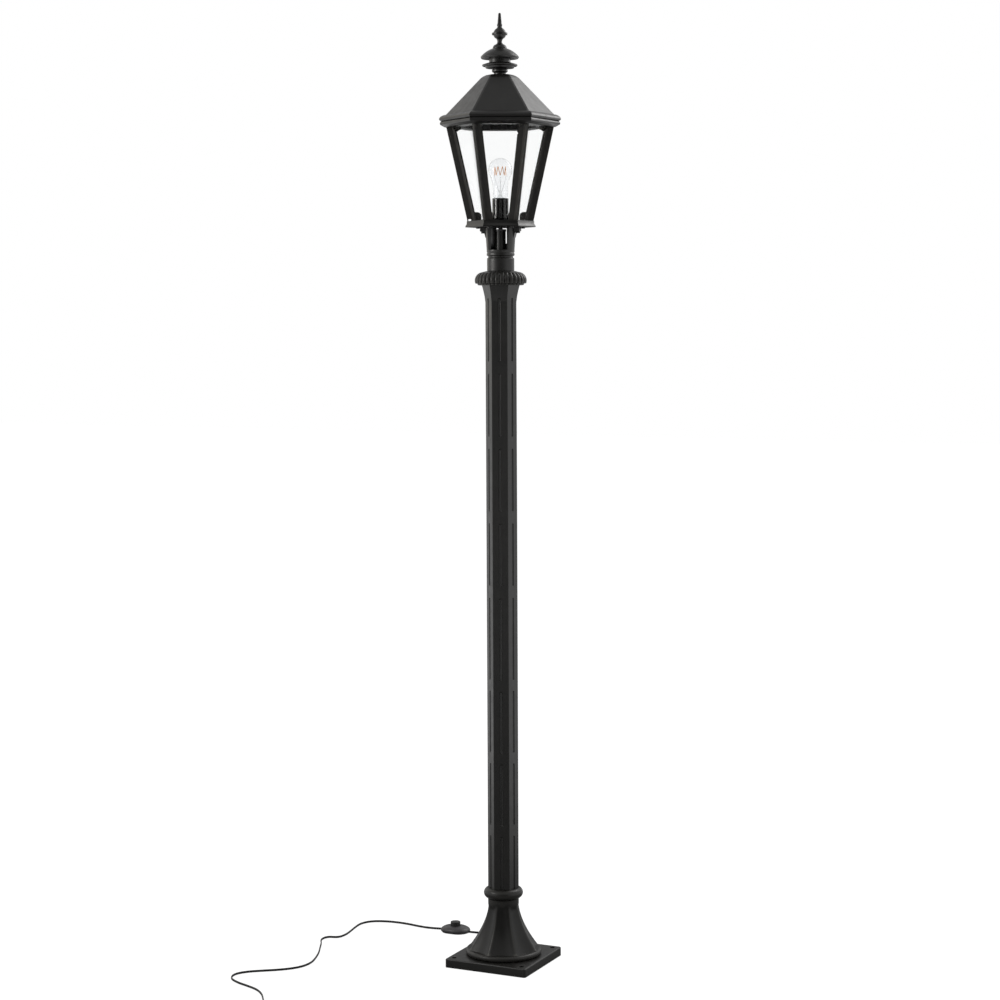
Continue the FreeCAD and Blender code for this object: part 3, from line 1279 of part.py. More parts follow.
def make_plug(start, angle):
    """Flat two-pin plug at the end of the lead, built along +X and laid in line with the lead."""
    spot = FreeCAD.Placement(start, FreeCAD.Rotation(Z_AXIS, angle))
    body = new_body("plug_body")
    tip = S.cord_diameter + 2.5
    neck = S.plug_relief_length
    high = S.plug_height
    loft(body, [(FLOOR, stadium(tip * 1.02, tip)), (neck, stadium(tip * 1.5, tip * 1.2)),
                (neck + 6, stadium(S.plug_width * 0.8, high)),
                (neck + S.plug_length, stadium(S.plug_width, high))], role="YZ_Plane")
    body.Placement = spot
    body = new_body("plug_pins")
    sketch = new_sketch(body, "YZ_Plane", neck + S.plug_length)
    for side in (-1, 1):
        circle(sketch, S.pin_spacing / 2 * side, 0, S.pin_diameter / 2)
    pad(body, sketch, S.pin_length)
    body.Placement = spot


def make_grommet():
    """Tapered strain relief where the lead leaves the back of the base plate."""
    body = new_body("cord_grommet")
    place(body, 0, HALF_PLATE, S.lead_height, FLOOR + 90)
    seat = S.channel_width / 2 - S.fit_gap
    sketch = new_sketch(body, "XY_Plane")
    outline(sketch, [(-S.relief_seat, 0), (S.relief_length, 0), (S.relief_length, S.relief_tip / 2),
                     (2.5, S.relief_root / 2), (2.5, S.relief_flange / 2), (0.2, S.relief_flange / 2),
                     (0.2, seat), (-S.relief_seat, seat)])
    turned(body, sketch, "H_Axis")


def export():
    DOC.recompute()
    failed = [thing.Label for thing in DOC.Objects
              if any(word in thing.State for word in ("Invalid", "Error"))]
    for node in NODES:
        shape = node.Shape
        if shape.isNull() or not shape.isValid() or not shape.Solids:
            failed.append(node.Label)
    if failed:
        raise RuntimeError("failed: " + ", ".join(failed))
    os.makedirs("parts", exist_ok=True)
    for node in NODES:
        node.Shape.exportStep("parts/%s.step" % node.Label)
    print("%d sub-parts, height %.1f mm" % (len(NODES), max(node.Shape.BoundBox.ZMax for node in NODES)))


make_base_plate()
make_pedestal()
make_grommet()
make_post()
make_tie()
make_collar()
make_cradle()
make_bottom_ring()
make_cage()
make_roof()
make_vent()
make_holder()
make_lamp()
make_switch()
make_cords()
export()
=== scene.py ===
"""Lantern post light, dressed for pictures.

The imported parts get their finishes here. The pedestal, the collar, the cradle, the filament, the foot
switch with its spring and the lead are made again as finer pieces, and the wire sleeve gets a bush. The
tables hold millimetres and degrees unless a comment says otherwise. Pieces are made in metres, in the
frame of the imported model.
"""
import json
import math

import bmesh
import bpy
from mathutils import Matrix, Vector


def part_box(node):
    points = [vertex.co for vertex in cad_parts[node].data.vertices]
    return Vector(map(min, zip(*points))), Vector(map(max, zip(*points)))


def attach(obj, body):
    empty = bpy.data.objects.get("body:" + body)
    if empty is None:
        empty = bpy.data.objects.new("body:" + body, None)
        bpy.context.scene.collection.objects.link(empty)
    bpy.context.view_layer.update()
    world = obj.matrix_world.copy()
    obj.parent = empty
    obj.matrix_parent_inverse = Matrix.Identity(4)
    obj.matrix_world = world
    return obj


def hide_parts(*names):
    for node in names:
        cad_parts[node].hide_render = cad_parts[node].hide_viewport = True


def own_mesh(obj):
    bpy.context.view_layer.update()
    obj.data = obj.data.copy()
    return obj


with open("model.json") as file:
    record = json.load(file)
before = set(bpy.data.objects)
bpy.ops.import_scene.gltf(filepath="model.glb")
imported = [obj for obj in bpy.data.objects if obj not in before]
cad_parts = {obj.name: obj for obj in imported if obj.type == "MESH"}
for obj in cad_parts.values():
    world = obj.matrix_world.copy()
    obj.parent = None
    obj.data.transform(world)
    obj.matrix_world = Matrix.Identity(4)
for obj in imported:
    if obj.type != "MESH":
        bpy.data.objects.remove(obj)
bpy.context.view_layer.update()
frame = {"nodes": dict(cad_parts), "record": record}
NODES = frame["nodes"]
SLOTS = {part["node"]: part["material_slot"] for part in frame["record"]["subparts"]}
MM = 0.001
UP = Vector((0, 0, 1))
FULL_TURN = 2 * math.pi

# Camera, fitted to the photograph, with its place in metres
CAMERA_PLACE = (2.2030, -4.6261, 1.4983)
CAMERA_TURN = (86.4607, 0.2545, 25.4866)
CAMERA_LENS = 81.243
CAMERA_SHIFT = -0.05
CAMERA_REACH = 100
SENSOR = 36

# Studio, set up from about the camera's side
STUDIO_SIDE = math.radians(24.81)
STUDIO_FRONT = (math.sin(STUDIO_SIDE), -math.cos(STUDIO_SIDE), 0)
STUDIO_RIGHT = (math.cos(STUDIO_SIDE), math.sin(STUDIO_SIDE), 0)
# Brightness round the object in gloss, from behind it (0) to the studio's front (1)
STUDIO_LEVELS = [(0.0, 0.03), (0.012, 0.07), (0.022, 0.42), (0.05, 0.60), (0.10, 0.80), (0.50, 0.85),
                 (0.72, 1.0), (0.81, 0.90), (0.89, 0.30), (0.95, 0.06), (1.0, 0.04)]
# Share of that brightness that is left overhead, and the heights between which it falls off
OVERHEAD = 0.56
OVERHEAD_FROM = 0.45
OVERHEAD_TO = 0.95
# Brightness for rays that are neither seen nor glossy
STUDIO_FILL = 0.5

# Floor: size in metres, gap under the object, and its own light where it is seen
FLOOR_SIZE = 40.0
FLOOR_GAP = 0.2
FLOOR_ALBEDO = 0.25
FLOOR_ROUGHNESS = 0.9
FLOOR_GLOW = 0.91
# Light of the floor in gloss: near the object, far to its sides, and the distances in metres between them
FLOOR_GLOSS = 0.03
FLOOR_SIDES = 0.88
FLOOR_SIDES_FROM = 0.4
FLOOR_SIDES_TO = 1.9

# Soft boxes: bearing from the studio's front with right as positive, elevation, distance and size in metres,
# power, colour, and the height in metres that they are aimed at
LAMPS = [
    ("soft_right", 128, 36, 3.2, (1.6, 2.2), 38, (1.0, 0.99, 0.98), 1.3),
    ("soft_left", -135, 20, 3.2, (1.6, 2.2), 4, (1.0, 0.86, 0.58), 1.3),
    ("strip_left", -72, 6, 2.4, (0.9, 0.9), 18, (1.0, 0.98, 0.95), 1.8),
]

# Finishes by kind. Cloud and sheen are the scale and detail of a noise, stretch is the part of the cloud's
# range that changes the colour, and uneven is the roughness that the sheen takes away and adds. A layer of
# bump is scale, detail, strength and depth.
COAT = {"cloud": (22, 5), "stretch": (0.35, 0.75), "sheen": (60, 4), "uneven": (0.05, 0.07),
        "bumps": [(170, 3, 0.10, 0.6), (1500, 2, 0.10, 0.15)]}
PLASTIC = {"cloud": (45, 3), "stretch": (0.3, 0.8), "sheen": (120, 3), "uneven": (0.04, 0.06), "bumps": []}
METAL = {"cloud": (80, 4), "stretch": (0.35, 0.75), "sheen": (300, 3), "uneven": (0.06, 0.08),
         "bumps": [(900, 2, 0.05, 0.1)]}
SHEEN_STRETCH = (0.3, 0.7)
# Curvature from which an edge starts to get a painted highlight, and at which the highlight is full
PAINTED_RIDGE_LIGHT_STRETCH = (0.505, 0.56)
# Cloud's colour as a share of the base colour
PLASTIC_BLOOM = 1.6
METAL_SHADE = 0.7
# Bump as detail, strength and depth, for a noise with a scale of its own
PLASTIC_GRAIN = (2, 0.08, 0.1)
GLASS_RIPPLE = (2, 0.012, 1.0)
# Glass bends the view very little, and its gloss is that of a coat
GLASS_IOR = 1.02
GLASS_COAT_IOR = 1.5
BLACK = (0.0105, 0.0102, 0.0094)
DUSTY = (0.016, 0.0155, 0.0142)

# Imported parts: width of the softened edges, and the angle from which an edge is softened
EDGES = {"cage_top_ring": 1.0, "roof_shell": 3.0, "bottom_ring": 0.8, "base_plate": 0.8, "vent_drum": 0.4}
PLAIN_EDGE = 0.5
EDGE_ANGLES = {"roof_shell": 15}
PLAIN_ANGLE = 32
EDGE_STEPS = 2
# Distance in metres at which points are joined, and how much large faces lead the shading
WELD_REACH = 0.00001
FLAT_WEIGHT = 60
# Words in the names of parts whose edges stay as they are
PLAIN_WORDS = ("glass", "cord", "coil", "filament", "spring", "stem")
# Finishes that differ from the part's slot, by a word in its name
LOOKS = {"bulb_stem": "stem_glass", "corner_bar": "bar_iron"}
# Angle from which shading breaks at an edge of a new piece
SHARP_ANGLE = 35

# Pedestal: lip, flare with hollow sides and soft ridges, neck, torus and spigot
LIP_RADIUS = 87
LIP_LEVELS = (20, 33)
LIP_STEPS = 14
FLARE_FOOT = 79
FLARE_NECK = 36
FLARE_START = 33.4
FLARE_TOP = 136
FLARE_STEPS = 34
FLARE_POWER = 1.69
FLARE_HOLLOW = 0.083
RIDGE_CUT = 2.4
RIDGE_SOFT = 1.1
FACE_TOP = 127
NECK_RADIUS = 35.4
NECK_OUTLINE = [(NECK_RADIUS, 143), (NECK_RADIUS, 149), (34.0, 150)]
TORUS_LEVELS = (150, 174)
TORUS_RADIUS = 45
TORUS_START = -80
TORUS_STEPS = 18
CAVITY_FOOT = 60
# From the spigot's foot over its end, down the bore and out to the top of the hollow
SPIGOT_OUTLINE = [(19.7, 174), (19.7, 206), (8.3, 206), (8.3, 110), (22, 110)]
ROUND_POINTS = 192

# Collar: a dome of convex lobes over a sharp lower edge
COLLAR_FOOT = [(20, 1555), (48, 1555), (52, 1555.6)]
COLLAR_LIP = [(53, 1558.8), (57.2, 1559.2)]
COLLAR_EDGE = (58, 1560)
COLLAR_SHOULDER = (45.5, 1584)
COLLAR_TOP = [(37.5, 1586), (33.5, 1587), (20, 1587)]
COLLAR_BEND = 19
COLLAR_STEPS = 16
COLLAR_ANGLE = 40
LOBES = 32
LOBE_DEPTH = 3.4
LOBE_ROUND = 0.97
LOBE_POINTS = 12
# Levels between which the lobes deepen, and between which they fade
LOBE_RISE = (1555, 1559)
LOBE_FADE = (1581, 1584.01)

# Cradle: turned neck, two legs with a low sill between them at the back, pads
CRADLE_NECK = [(8.3, 1587), (30.2, 1587), (30.8, 1587.6), (30.8, 1615.2), (30.2, 1616), (28.2, 1617.6),
               (28.2, 1620.4), (30.9, 1621.8), (31.5, 1622.4), (31.5, 1626.6), (30.9, 1627.6),
               (30.3, 1628.5), (30.9, 1629.4), (31.5, 1630.4), (31.5, 1634.4), (31.1, 1635), (25, 1635),
               (25, 1605), (8.3, 1605)]
CRADLE_SIDES = 128
CRADLE_BORE = 25
CRADLE_LEVELS = (1634, 1686)
CRADLE_SOFT = 0.5
LEG_RADII = (31.5, 34.6)
LEGS = [(-31.5, 55.4), (136.5, 235.4)]
BACK_SILL = (54, 138)
BACK_SILL_TOP = 1650
WALL_EDGE = 1.2
WALL_INSET = 0.05
WALL_STEPS = 20
PAD_TURNS = (10.4, 190.4)
PAD_NEAR = 26
PAD_FAR = 46.5
PAD_WIDTH = 18
PAD_LEVELS = (1676.5, 1686)
# Sweep under the pad: distance out from the leg and depth under the pad's lower face
PAD_SWEEP = [(0.6, 6), (2.6, 2), (5.4, 0)]
PAD_ROOT = (0.4, 14)
PAD_ROUND = 1
PAD_GAP = 0.4
# Sections of the pad across its width: share of half the width, and how far its end is set back
PAD_SECTIONS = ((-1, 1.2), (-0.86, 0), (0.86, 0), (1, 1.2))
BUSH = [(9, 1676), (12.7, 1676), (13, 1676.4), (13, 1680.6), (12.4, 1681.4), (9.6, 1681.4), (9, 1680.8)]
BUSH_SIDES = 64

# Filament: half a ring of upright loops, held in the stem's bead
FILAMENT_TURN = math.radians(24.8)
FILAMENT_RING = 13
FILAMENT_LEVELS = (1801.5, 1822.5)
FILAMENT_STRANDS = 8
FILAMENT_THICK = 0.72
FILAMENT_ROUND = 3
# Shares of a strand's length where the line is held
FILAMENT_HOLDS = (0.04, 0.35, 0.65, 0.96)
STEM_BEAD = (2.9, 1765.7)
# Legs: share of the filament's thickness, and the knee's share of the way down and of the way in
LEG_THICK = 0.4
KNEE_DOWN = 0.35
KNEE_IN = 0.2

# Foot switch: half length, half width and levels of foot, waist and top
SWITCH_TURN = math.radians(1.2)
SWITCH_SPOT = (-212.5, 176)
SWITCH_HALF = (36, 28)
SWITCH_LEVELS = (2, 5.2, 15.2)
SWITCH_POINTS = 96
SWITCH_STEPS = 20
# Power of the outline, which is 2 for an ellipse
SWITCH_POWER = 2.3
# Side of the cover: inset and level
SWITCH_SIDE = [(1.6, 2), (0.7, 2.5), (0.2, 4.0)]
SWITCH_WALL = 2.5
# Inside of the cover half way out: roundness, share of the length and drop
SWITCH_VAULT = (0.4, 0.72, 2.2)
SWITCH_STEP = 1
# Power with which the outline becomes round towards the button
SWITCH_ROUNDING = 3
BUTTON_RADIUS = 11.8
BUTTON_GAP = 0.5
BUTTON_SIDES = 64
BUTTON_SKIRT = [(13.2, 10.7), (13.2, 12.0), (11.6, 12.0), (11.8, 13.0), (11.8, 23.7)]
BUTTON_ROUND = 1.2
BUTTON_ROUND_FROM = 15
BUTTON_ROUND_STEPS = 5
BUTTON_DISH = [(9.4, 24.9), (7.3, 24.5), (3.8, 24.2), (0.4, 24.1)]
SPRING_WIRE = 0.9
SPRING_TURNS = 4
SPRING_POINTS = 28
SPRING_ROUND = 2

# Lead: a flat twin flex laid on its edge
CORD_HEIGHT = 5.2 * MM
CORD_THICKNESS = 3.0 * MM
# Arc of each core's outside in the section, and the steps along it
CORE_ARC = 200
CORE_STEPS = 8
ROUTE_STEPS = 8
BASE_ROUTE = [(0, 125.4, 8), (-1, 147, 4), (-12, 168, 2.8), (-38, 184, 2.8), (-74, 190, 2.8),
              (-112, 187, 2.8), (-149, 181.5, 2.8), (-179, 176.7, 3.2)]
FLOOR_ROUTE = [(-246, 175.3, 3.2), (-277, 169, 2.8), (-310, 172, 2.8), (-350, 181, 2.8), (-394, 181, 2.8),
               (-434, 168, 2.8), (-452, 138, 2.8), (-447, 98, 2.8), (-440, 62, 2.8), (-436, 34, 2.8),
               (-440, 5, 2.8), (-468, 0, 2.8), (-470, -28, 2.8), (-453, -54, 2.8), (-437, -88, 2.8),
               (-419, -124, 2.8), (-404, -164, 2.8), (-392, -206, 2.8), (-398, -246, 2.8),
               (-424, -278, 2.8), (-460, -304, 2.8), (-490, -326, 2.8), (-507, -354, 2.8),
               (-497, -386, 2.8), (-466, -406, 2.8), (-430, -419, 2.8), (-396, -434, 2.8),
               (-370, -458, 2.8), (-350, -486, 2.8), (-327, -520, 4.1), (-303, -556, 4.1)]
COIL_RADIUS = 28.5 * MM
COIL_TURNS = 3
COIL_CLIMB = 0.5
COIL_PITCH = 5.7 * MM
COIL_POINTS = 24
# Run from the coil to the plug: length, level at the plug, bends along it, and cord heights inside the plug
PLUG_RUN = 30 * MM
PLUG_LEVEL = 7.2 * MM
PLUG_BENDS = (0.4, 0.3)
PLUG_INSIDE = 2


# Node helpers

def spread_node(tree, value, low, high, out_low, out_high, easing="LINEAR"):
    """Maps a stretch of a value's range to another, clamped."""
    node = tree.nodes.new("ShaderNodeMapRange")
    node.interpolation_type = easing
    limits = {"From Min": low, "From Max": high, "To Min": out_low, "To Max": out_high}
    for name, number in limits.items():
        node.inputs[name].default_value = number
    tree.links.new(value, node.inputs["Value"])
    return node.outputs["Result"]


def math_node(tree, operation, *values):
    """A math node on sockets and numbers."""
    node = tree.nodes.new("ShaderNodeMath")
    node.operation = operation
    for socket, value in zip(node.inputs, values):
        if isinstance(value, float):
            socket.default_value = value
        else:
            tree.links.new(value, socket)
    return node.outputs["Value"]


def along_node(tree, vector, direction):
    """How far a vector goes in a direction."""
    node = tree.nodes.new("ShaderNodeVectorMath")
    node.operation = "DOT_PRODUCT"
    node.inputs[1].default_value = direction
    tree.links.new(vector, node.inputs[0])
    return node.outputs["Value"]


# Materials

class Shader:
    """A material with one Principled shader and helpers to wire procedural detail into it."""

    def __init__(self, name, colour, roughness, metallic=0.0):
        self.material = bpy.data.materials.new(name)
        self.material.use_nodes = True
        self.tree = self.material.node_tree
        self.shader = self.tree.nodes["Principled BSDF"]
        self.colour = (*colour, 1)
        self.set("Base Color", self.colour)
        self.set("Roughness", roughness)
        self.set("Metallic", metallic)
        coordinates = self.tree.nodes.new("ShaderNodeTexCoord")
        self.place = coordinates.outputs["Object"]

    def set(self, name, value):
        self.shader.inputs[name].default_value = value

    def noise(self, scale, detail):
        node = self.tree.nodes.new("ShaderNodeTexNoise")
        node.inputs["Scale"].default_value = scale
        node.inputs["Detail"].default_value = detail
        self.tree.links.new(self.place, node.inputs["Vector"])
        return node.outputs["Fac"]

    def tint(self, value, stretch, other):
        """Base colour that goes from what is there to another over a stretch of a value."""
        share = spread_node(self.tree, value, *stretch, 0, 1)
        node = self.tree.nodes.new("ShaderNodeMix")
        node.data_type = "RGBA"
        socket = self.shader.inputs["Base Color"]
        if socket.is_linked:
            self.tree.links.new(socket.links[0].from_socket, node.inputs["A"])
        else:
            node.inputs["A"].default_value = self.colour
        node.inputs["B"].default_value = (*other, 1)
        self.tree.links.new(share, node.inputs["Factor"])
        self.tree.links.new(node.outputs["Result"], socket)

    def sheen(self, value, low, high):
        """Roughness that goes from a low to a high value with a noise."""
        level = spread_node(self.tree, value, *SHEEN_STRETCH, low, high)
        self.tree.links.new(level, self.shader.inputs["Roughness"])

    def bump(self, scale, detail, strength, depth):
        """Adds a layer of noise as bump over what is there."""
        node = self.tree.nodes.new("ShaderNodeBump")
        node.inputs["Strength"].default_value = strength
        node.inputs["Distance"].default_value = depth * MM
        self.tree.links.new(self.noise(scale, detail), node.inputs["Height"])
        socket = self.shader.inputs["Normal"]
        if socket.is_linked:
            self.tree.links.new(socket.links[0].from_socket, node.inputs["Normal"])
        self.tree.links.new(node.outputs["Normal"], socket)


def finish(name, kind, colour, other, roughness, metallic=0.0):
    """A shader with a cloudy colour, an uneven sheen and layers of bump."""
    shader = Shader(name, colour, roughness, metallic)
    shader.tint(shader.noise(*kind["cloud"]), kind["stretch"], other)
    less, more = kind["uneven"]
    shader.sheen(shader.noise(*kind["sheen"]), roughness - less, roughness + more)
    for layer in kind["bumps"]:
        shader.bump(*layer)
    return shader


def powder_coat(name, colour, worn, roughness, painted_ridge_light=None, gloss=0.5):
    """Satin coat on a casting: fine grain, a dusty bloom, and a painted highlight that makes sharp ridges
    lighter where asked.
    """
    coat = finish(name, COAT, colour, worn, roughness)
    coat.set("Specular IOR Level", gloss)
    # Sharp ridges get a lighter colour by their curvature: a painted highlight for light caught on the
    # ridges
    if painted_ridge_light:
        shape = coat.tree.nodes.new("ShaderNodeNewGeometry")
        coat.tint(shape.outputs["Pointiness"], PAINTED_RIDGE_LIGHT_STRETCH, painted_ridge_light)
    return coat.material


def moulded_plastic(name, colour, roughness, grain):
    bloom = [part * PLASTIC_BLOOM for part in colour]
    plastic = finish(name, PLASTIC, colour, bloom, roughness)
    plastic.bump(grain, *PLASTIC_GRAIN)
    return plastic.material


def metal(name, colour, roughness):
    shade = [part * METAL_SHADE for part in colour]
    return finish(name, METAL, colour, shade, roughness, 1.0).material


def clear_glass(name, colour, solid, ripple, gloss=1.0):
    """Thin clear glass: the view passes straight through, and the gloss is a coat's."""
    glass = Shader(name, colour, 0.0)
    glass.set("Transmission Weight", 1.0)
    glass.set("IOR", GLASS_IOR)
    glass.set("Coat Weight", gloss)
    glass.set("Coat Roughness", 0.0)
    glass.set("Coat IOR", GLASS_COAT_IOR)
    glass.set("Alpha", solid)
    glass.bump(ripple, *GLASS_RIPPLE)
    return glass.material


MATERIALS = {
    "black_iron": powder_coat("black_iron", BLACK, DUSTY, 0.34),
    "black_coat": powder_coat("black_coat", BLACK, DUSTY, 0.33),
    # The pedestal's ridges and the collar's lobes get the painted ridge highlight colour
    "ridged_iron": powder_coat("ridged_iron", BLACK, DUSTY, 0.34, painted_ridge_light=(0.07, 0.068, 0.062), gloss=0.3),
    "bar_iron": powder_coat("bar_iron", (0.040, 0.039, 0.036), (0.052, 0.050, 0.046), 0.40, gloss=0.25),
    "clear_glass": clear_glass("pane_glass", (0.87, 0.895, 0.89), 0.16, 14, gloss=0.2),
    "bulb_glass": clear_glass("bulb_glass", (0.90, 0.91, 0.93), 0.32, 60),
    "stem_glass": clear_glass("stem_glass", (0.55, 0.56, 0.56), 0.45, 200),
    "plain_steel": metal("plain_steel", (0.55, 0.55, 0.54), 0.34),
    "black_steel": powder_coat("black_steel", (0.011, 0.011, 0.011), (0.02, 0.02, 0.02), 0.36),
    "lead_wire": metal("lead_wire", (0.20, 0.20, 0.21), 0.4),
    "brass": metal("brass", (0.72, 0.52, 0.24), 0.28),
    "filament": moulded_plastic("filament_carbon", (0.55, 0.22, 0.05), 0.5, 4000),
    "bakelite": moulded_plastic("bakelite", (0.006, 0.006, 0.006), 0.12, 700),
    "black_plastic": moulded_plastic("black_plastic", (0.040, 0.038, 0.041), 0.38, 1800),
    "push_plastic": moulded_plastic("push_plastic", (0.014, 0.014, 0.014), 0.4, 1800),
    "black_flex": moulded_plastic("black_flex", (0.014, 0.014, 0.014), 0.42, 1200),
}


# Mesh helpers

def smooth_step(value, low, high):
    share = min(max((value - low) / (high - low), 0), 1)
    return share * share * (3 - 2 * share)


def polar(radius, angle, level):
    """A point round the post's axis, from millimetres to metres."""
    return Vector((radius * math.cos(angle), radius * math.sin(angle), level)) * MM


def metres(points):
    return [Vector(point) * MM for point in points]


def round_angles(count):
    return [FULL_TURN * i / count for i in range(count)]


def arc(centre, radius, start, end, steps):
    """Points of an arc in the plane of radius and height, with angles from outward."""
    points = []
    for i in range(steps + 1):
        angle = math.radians(start + (end - start) * i / steps)
        points.append((centre[0] + radius * math.cos(angle), centre[1] + radius * math.sin(angle)))
    return points


def skin(work, rings, along=False):
    """Quads between rings of points. A ring closes on itself, and the last ring may meet the first."""
    loops = [[work.verts.new(point) for point in ring] for ring in rings]
    pairs = list(zip(loops, loops[1:]))
    if along:
        pairs.append((loops[-1], loops[0]))
    for low, high in pairs:
        count = len(low)
        for i in range(count):
            j = (i + 1) % count
            work.faces.new((low[i], low[j], high[j], high[i]))
    return loops


def block(work, rings):
    """A closed block: rings joined by quads, with its first and last ring filled."""
    loops = skin(work, rings)
    work.faces.new(reversed(loops[0]))
    work.faces.new(loops[-1])


def lathe(profile, sides, spot=(0, 0, 0)):
    """Rings of a profile of radius and height, turned about the vertical through a spot in metres."""
    rings = []
    for radius, level in profile:
        rings.append([polar(radius, angle, level) + Vector(spot) for angle in round_angles(sides)])
    return rings


def smooth(mesh):
    mesh.polygons.foreach_set("use_smooth", [True] * len(mesh.polygons))


def mesh_of(work, name):
    bmesh.ops.recalc_face_normals(work, faces=work.faces)
    mesh = bpy.data.meshes.new(name)
    work.to_mesh(mesh)
    work.free()
    return mesh


def place_object(name, data):
    thing = bpy.data.objects.new(name, data)
    bpy.context.scene.collection.objects.link(thing)
    return thing


def new_piece(name, mesh, slot, body, look=None):
    """A piece of the object, with a material and the body that it rides on."""
    smooth(mesh)
    piece = place_object(name, mesh)
    mesh.materials.append(MATERIALS[look or slot])
    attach(piece, body)
    return piece


def soften(piece, angle, width):
    """Rounds edges sharper than an angle and keeps flat faces flat."""
    weld = piece.modifiers.new("weld", "WELD")
    weld.merge_threshold = WELD_REACH
    bevel = piece.modifiers.new("bevel", "BEVEL")
    bevel.limit_method = "ANGLE"
    bevel.angle_limit = math.radians(angle)
    bevel.width = width * MM
    bevel.segments = EDGE_STEPS
    bevel.use_clamp_overlap = True
    normal = piece.modifiers.new("normal", "WEIGHTED_NORMAL")
    normal.keep_sharp = True
    normal.weight = FLAT_WEIGHT


def sharpen(piece, angle=SHARP_ANGLE):
    """Smooth shading that breaks only at edges sharper than an angle."""
    piece.data.set_sharp_from_angle(angle=math.radians(angle))
    normal = piece.modifiers.new("normal", "WEIGHTED_NORMAL")
    normal.keep_sharp = True


def finish_node(name):
    """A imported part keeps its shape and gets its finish, its shading and soft edges."""
    piece = NODES[name]
    mesh = piece.data
    look = SLOTS[name]
    for word in LOOKS:
        if word in name:
            look = LOOKS[word]
    mesh.materials.clear()
    mesh.materials.append(MATERIALS[look])
    smooth(mesh)
    if not any(word in name for word in PLAIN_WORDS):
        soften(piece, EDGE_ANGLES.get(name, PLAIN_ANGLE), EDGES.get(name, PLAIN_EDGE))


# Pedestal

def flare_radius(angle, level):
    """Outline of the octagonal flare: hollow sides, and ridges taken off with a soft curve."""
    share = max(FLARE_TOP - level, 0) / (FLARE_TOP - LIP_LEVELS[1])
    half = FLARE_NECK + (FLARE_FOOT - FLARE_NECK) * min(share, 1) ** FLARE_POWER
    eighth = math.pi / 4
    off = (angle % eighth) - eighth / 2
    across = math.tan(off) / math.tan(eighth / 2)
    reach = half * (1 - FLARE_HOLLOW * (1 - across * across)) / math.cos(off)
    ridge = half / math.cos(eighth / 2) - RIDGE_CUT
    reach = ridge - RIDGE_SOFT * math.log(1 + math.exp((ridge - reach) / RIDGE_SOFT))
    return reach + (NECK_RADIUS - reach) * smooth_step(level, FACE_TOP, FLARE_TOP)


def make_pedestal():
    """Cast pedestal, open below, with the spigot that stands in the post."""
    low, high = LIP_LEVELS
    roll = (high - low) / 2
    foot = [(CAVITY_FOOT, low)] + arc((LIP_RADIUS - roll, low + roll), roll, -90, 90, LIP_STEPS)
    low, high = TORUS_LEVELS
    swell = (high - low) / 2
    torus = arc((TORUS_RADIUS - swell, low + swell), swell, TORUS_START, 90, TORUS_STEPS)
    turns = round_angles(ROUND_POINTS)
    rings = lathe(foot, ROUND_POINTS)
    for i in range(FLARE_STEPS + 1):
        level = FLARE_START + (FLARE_TOP - FLARE_START) * i / FLARE_STEPS
        rings.append([polar(flare_radius(angle, level), angle, level) for angle in turns])
    rings += lathe(NECK_OUTLINE + torus + SPIGOT_OUTLINE, ROUND_POINTS)
    work = bmesh.new()
    skin(work, rings, along=True)
    mesh = mesh_of(work, "pedestal_casting")
    piece = new_piece("pedestal_casting", mesh, "black_iron", "post", "ridged_iron")
    sharpen(piece)
    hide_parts("base_pedestal")


# Collar

def collar_dome():
    """Outline of the dome: an arc of the given bend from the sharp edge to the shoulder."""
    widest, edge = COLLAR_EDGE
    crown, shoulder = COLLAR_SHOULDER
    rise, run = shoulder - edge, widest - crown
    chord = math.hypot(rise, run)
    drop = math.sqrt(COLLAR_BEND ** 2 - chord ** 2 / 4) / chord
    centre = ((widest + crown) / 2 - rise * drop, (edge + shoulder) / 2 - run * drop)
    start = math.degrees(math.atan2(edge - centre[1], widest - centre[0]))
    end = math.degrees(math.atan2(shoulder - centre[1], crown - centre[0]))
    return arc(centre, COLLAR_BEND, start, end, COLLAR_STEPS)


def make_collar():
    """Gadrooned collar: lobes run from the sharp lower edge over the dome and fade at the shoulder."""
    count = LOBES * LOBE_POINTS
    turns = round_angles(count)
    cuts = []
    for i in range(count):
        across = 2 * (i % LOBE_POINTS) / LOBE_POINTS - 1
        cuts.append(1 - math.sqrt(1 - LOBE_ROUND * across * across))
    rings = lathe(COLLAR_FOOT, count)
    for radius, level in COLLAR_LIP + collar_dome():
        depth = LOBE_DEPTH * (1 - smooth_step(level, *LOBE_FADE)) * smooth_step(level, *LOBE_RISE)
        rings.append([polar(radius - depth * cut, angle, level) for cut, angle in zip(cuts, turns)])
    rings += lathe(COLLAR_TOP, count)
    work = bmesh.new()
    skin(work, rings, along=True)
    mesh = mesh_of(work, "collar_gadroons")
    piece = new_piece("collar_gadroons", mesh, "black_iron", "post", "ridged_iron")
    sharpen(piece, COLLAR_ANGLE)
    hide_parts("gadroon_collar")


# Cradle

def leg_radius(level):
    low, high = LEG_RADII
    share = min(max((level - CRADLE_LEVELS[0]) / (PAD_LEVELS[0] - CRADLE_LEVELS[0]), 0), 1)
    return low + (high - low) * share


def curved_wall(work, start, end, low, high):
    """A wall of the cradle between two angles and two levels."""
    outer_low = leg_radius(low) - WALL_INSET
    outer_high = leg_radius(high) - WALL_INSET
    outline = [(CRADLE_BORE, low), (outer_low, low), (outer_high, high - WALL_EDGE),
               (outer_high - WALL_EDGE, high), (CRADLE_BORE, high)]
    rings = []
    for i in range(WALL_STEPS + 1):
        turn = math.radians(start + (end - start) * i / WALL_STEPS)
        rings.append([polar(radius, turn, level) for radius, level in outline])
    block(work, rings)


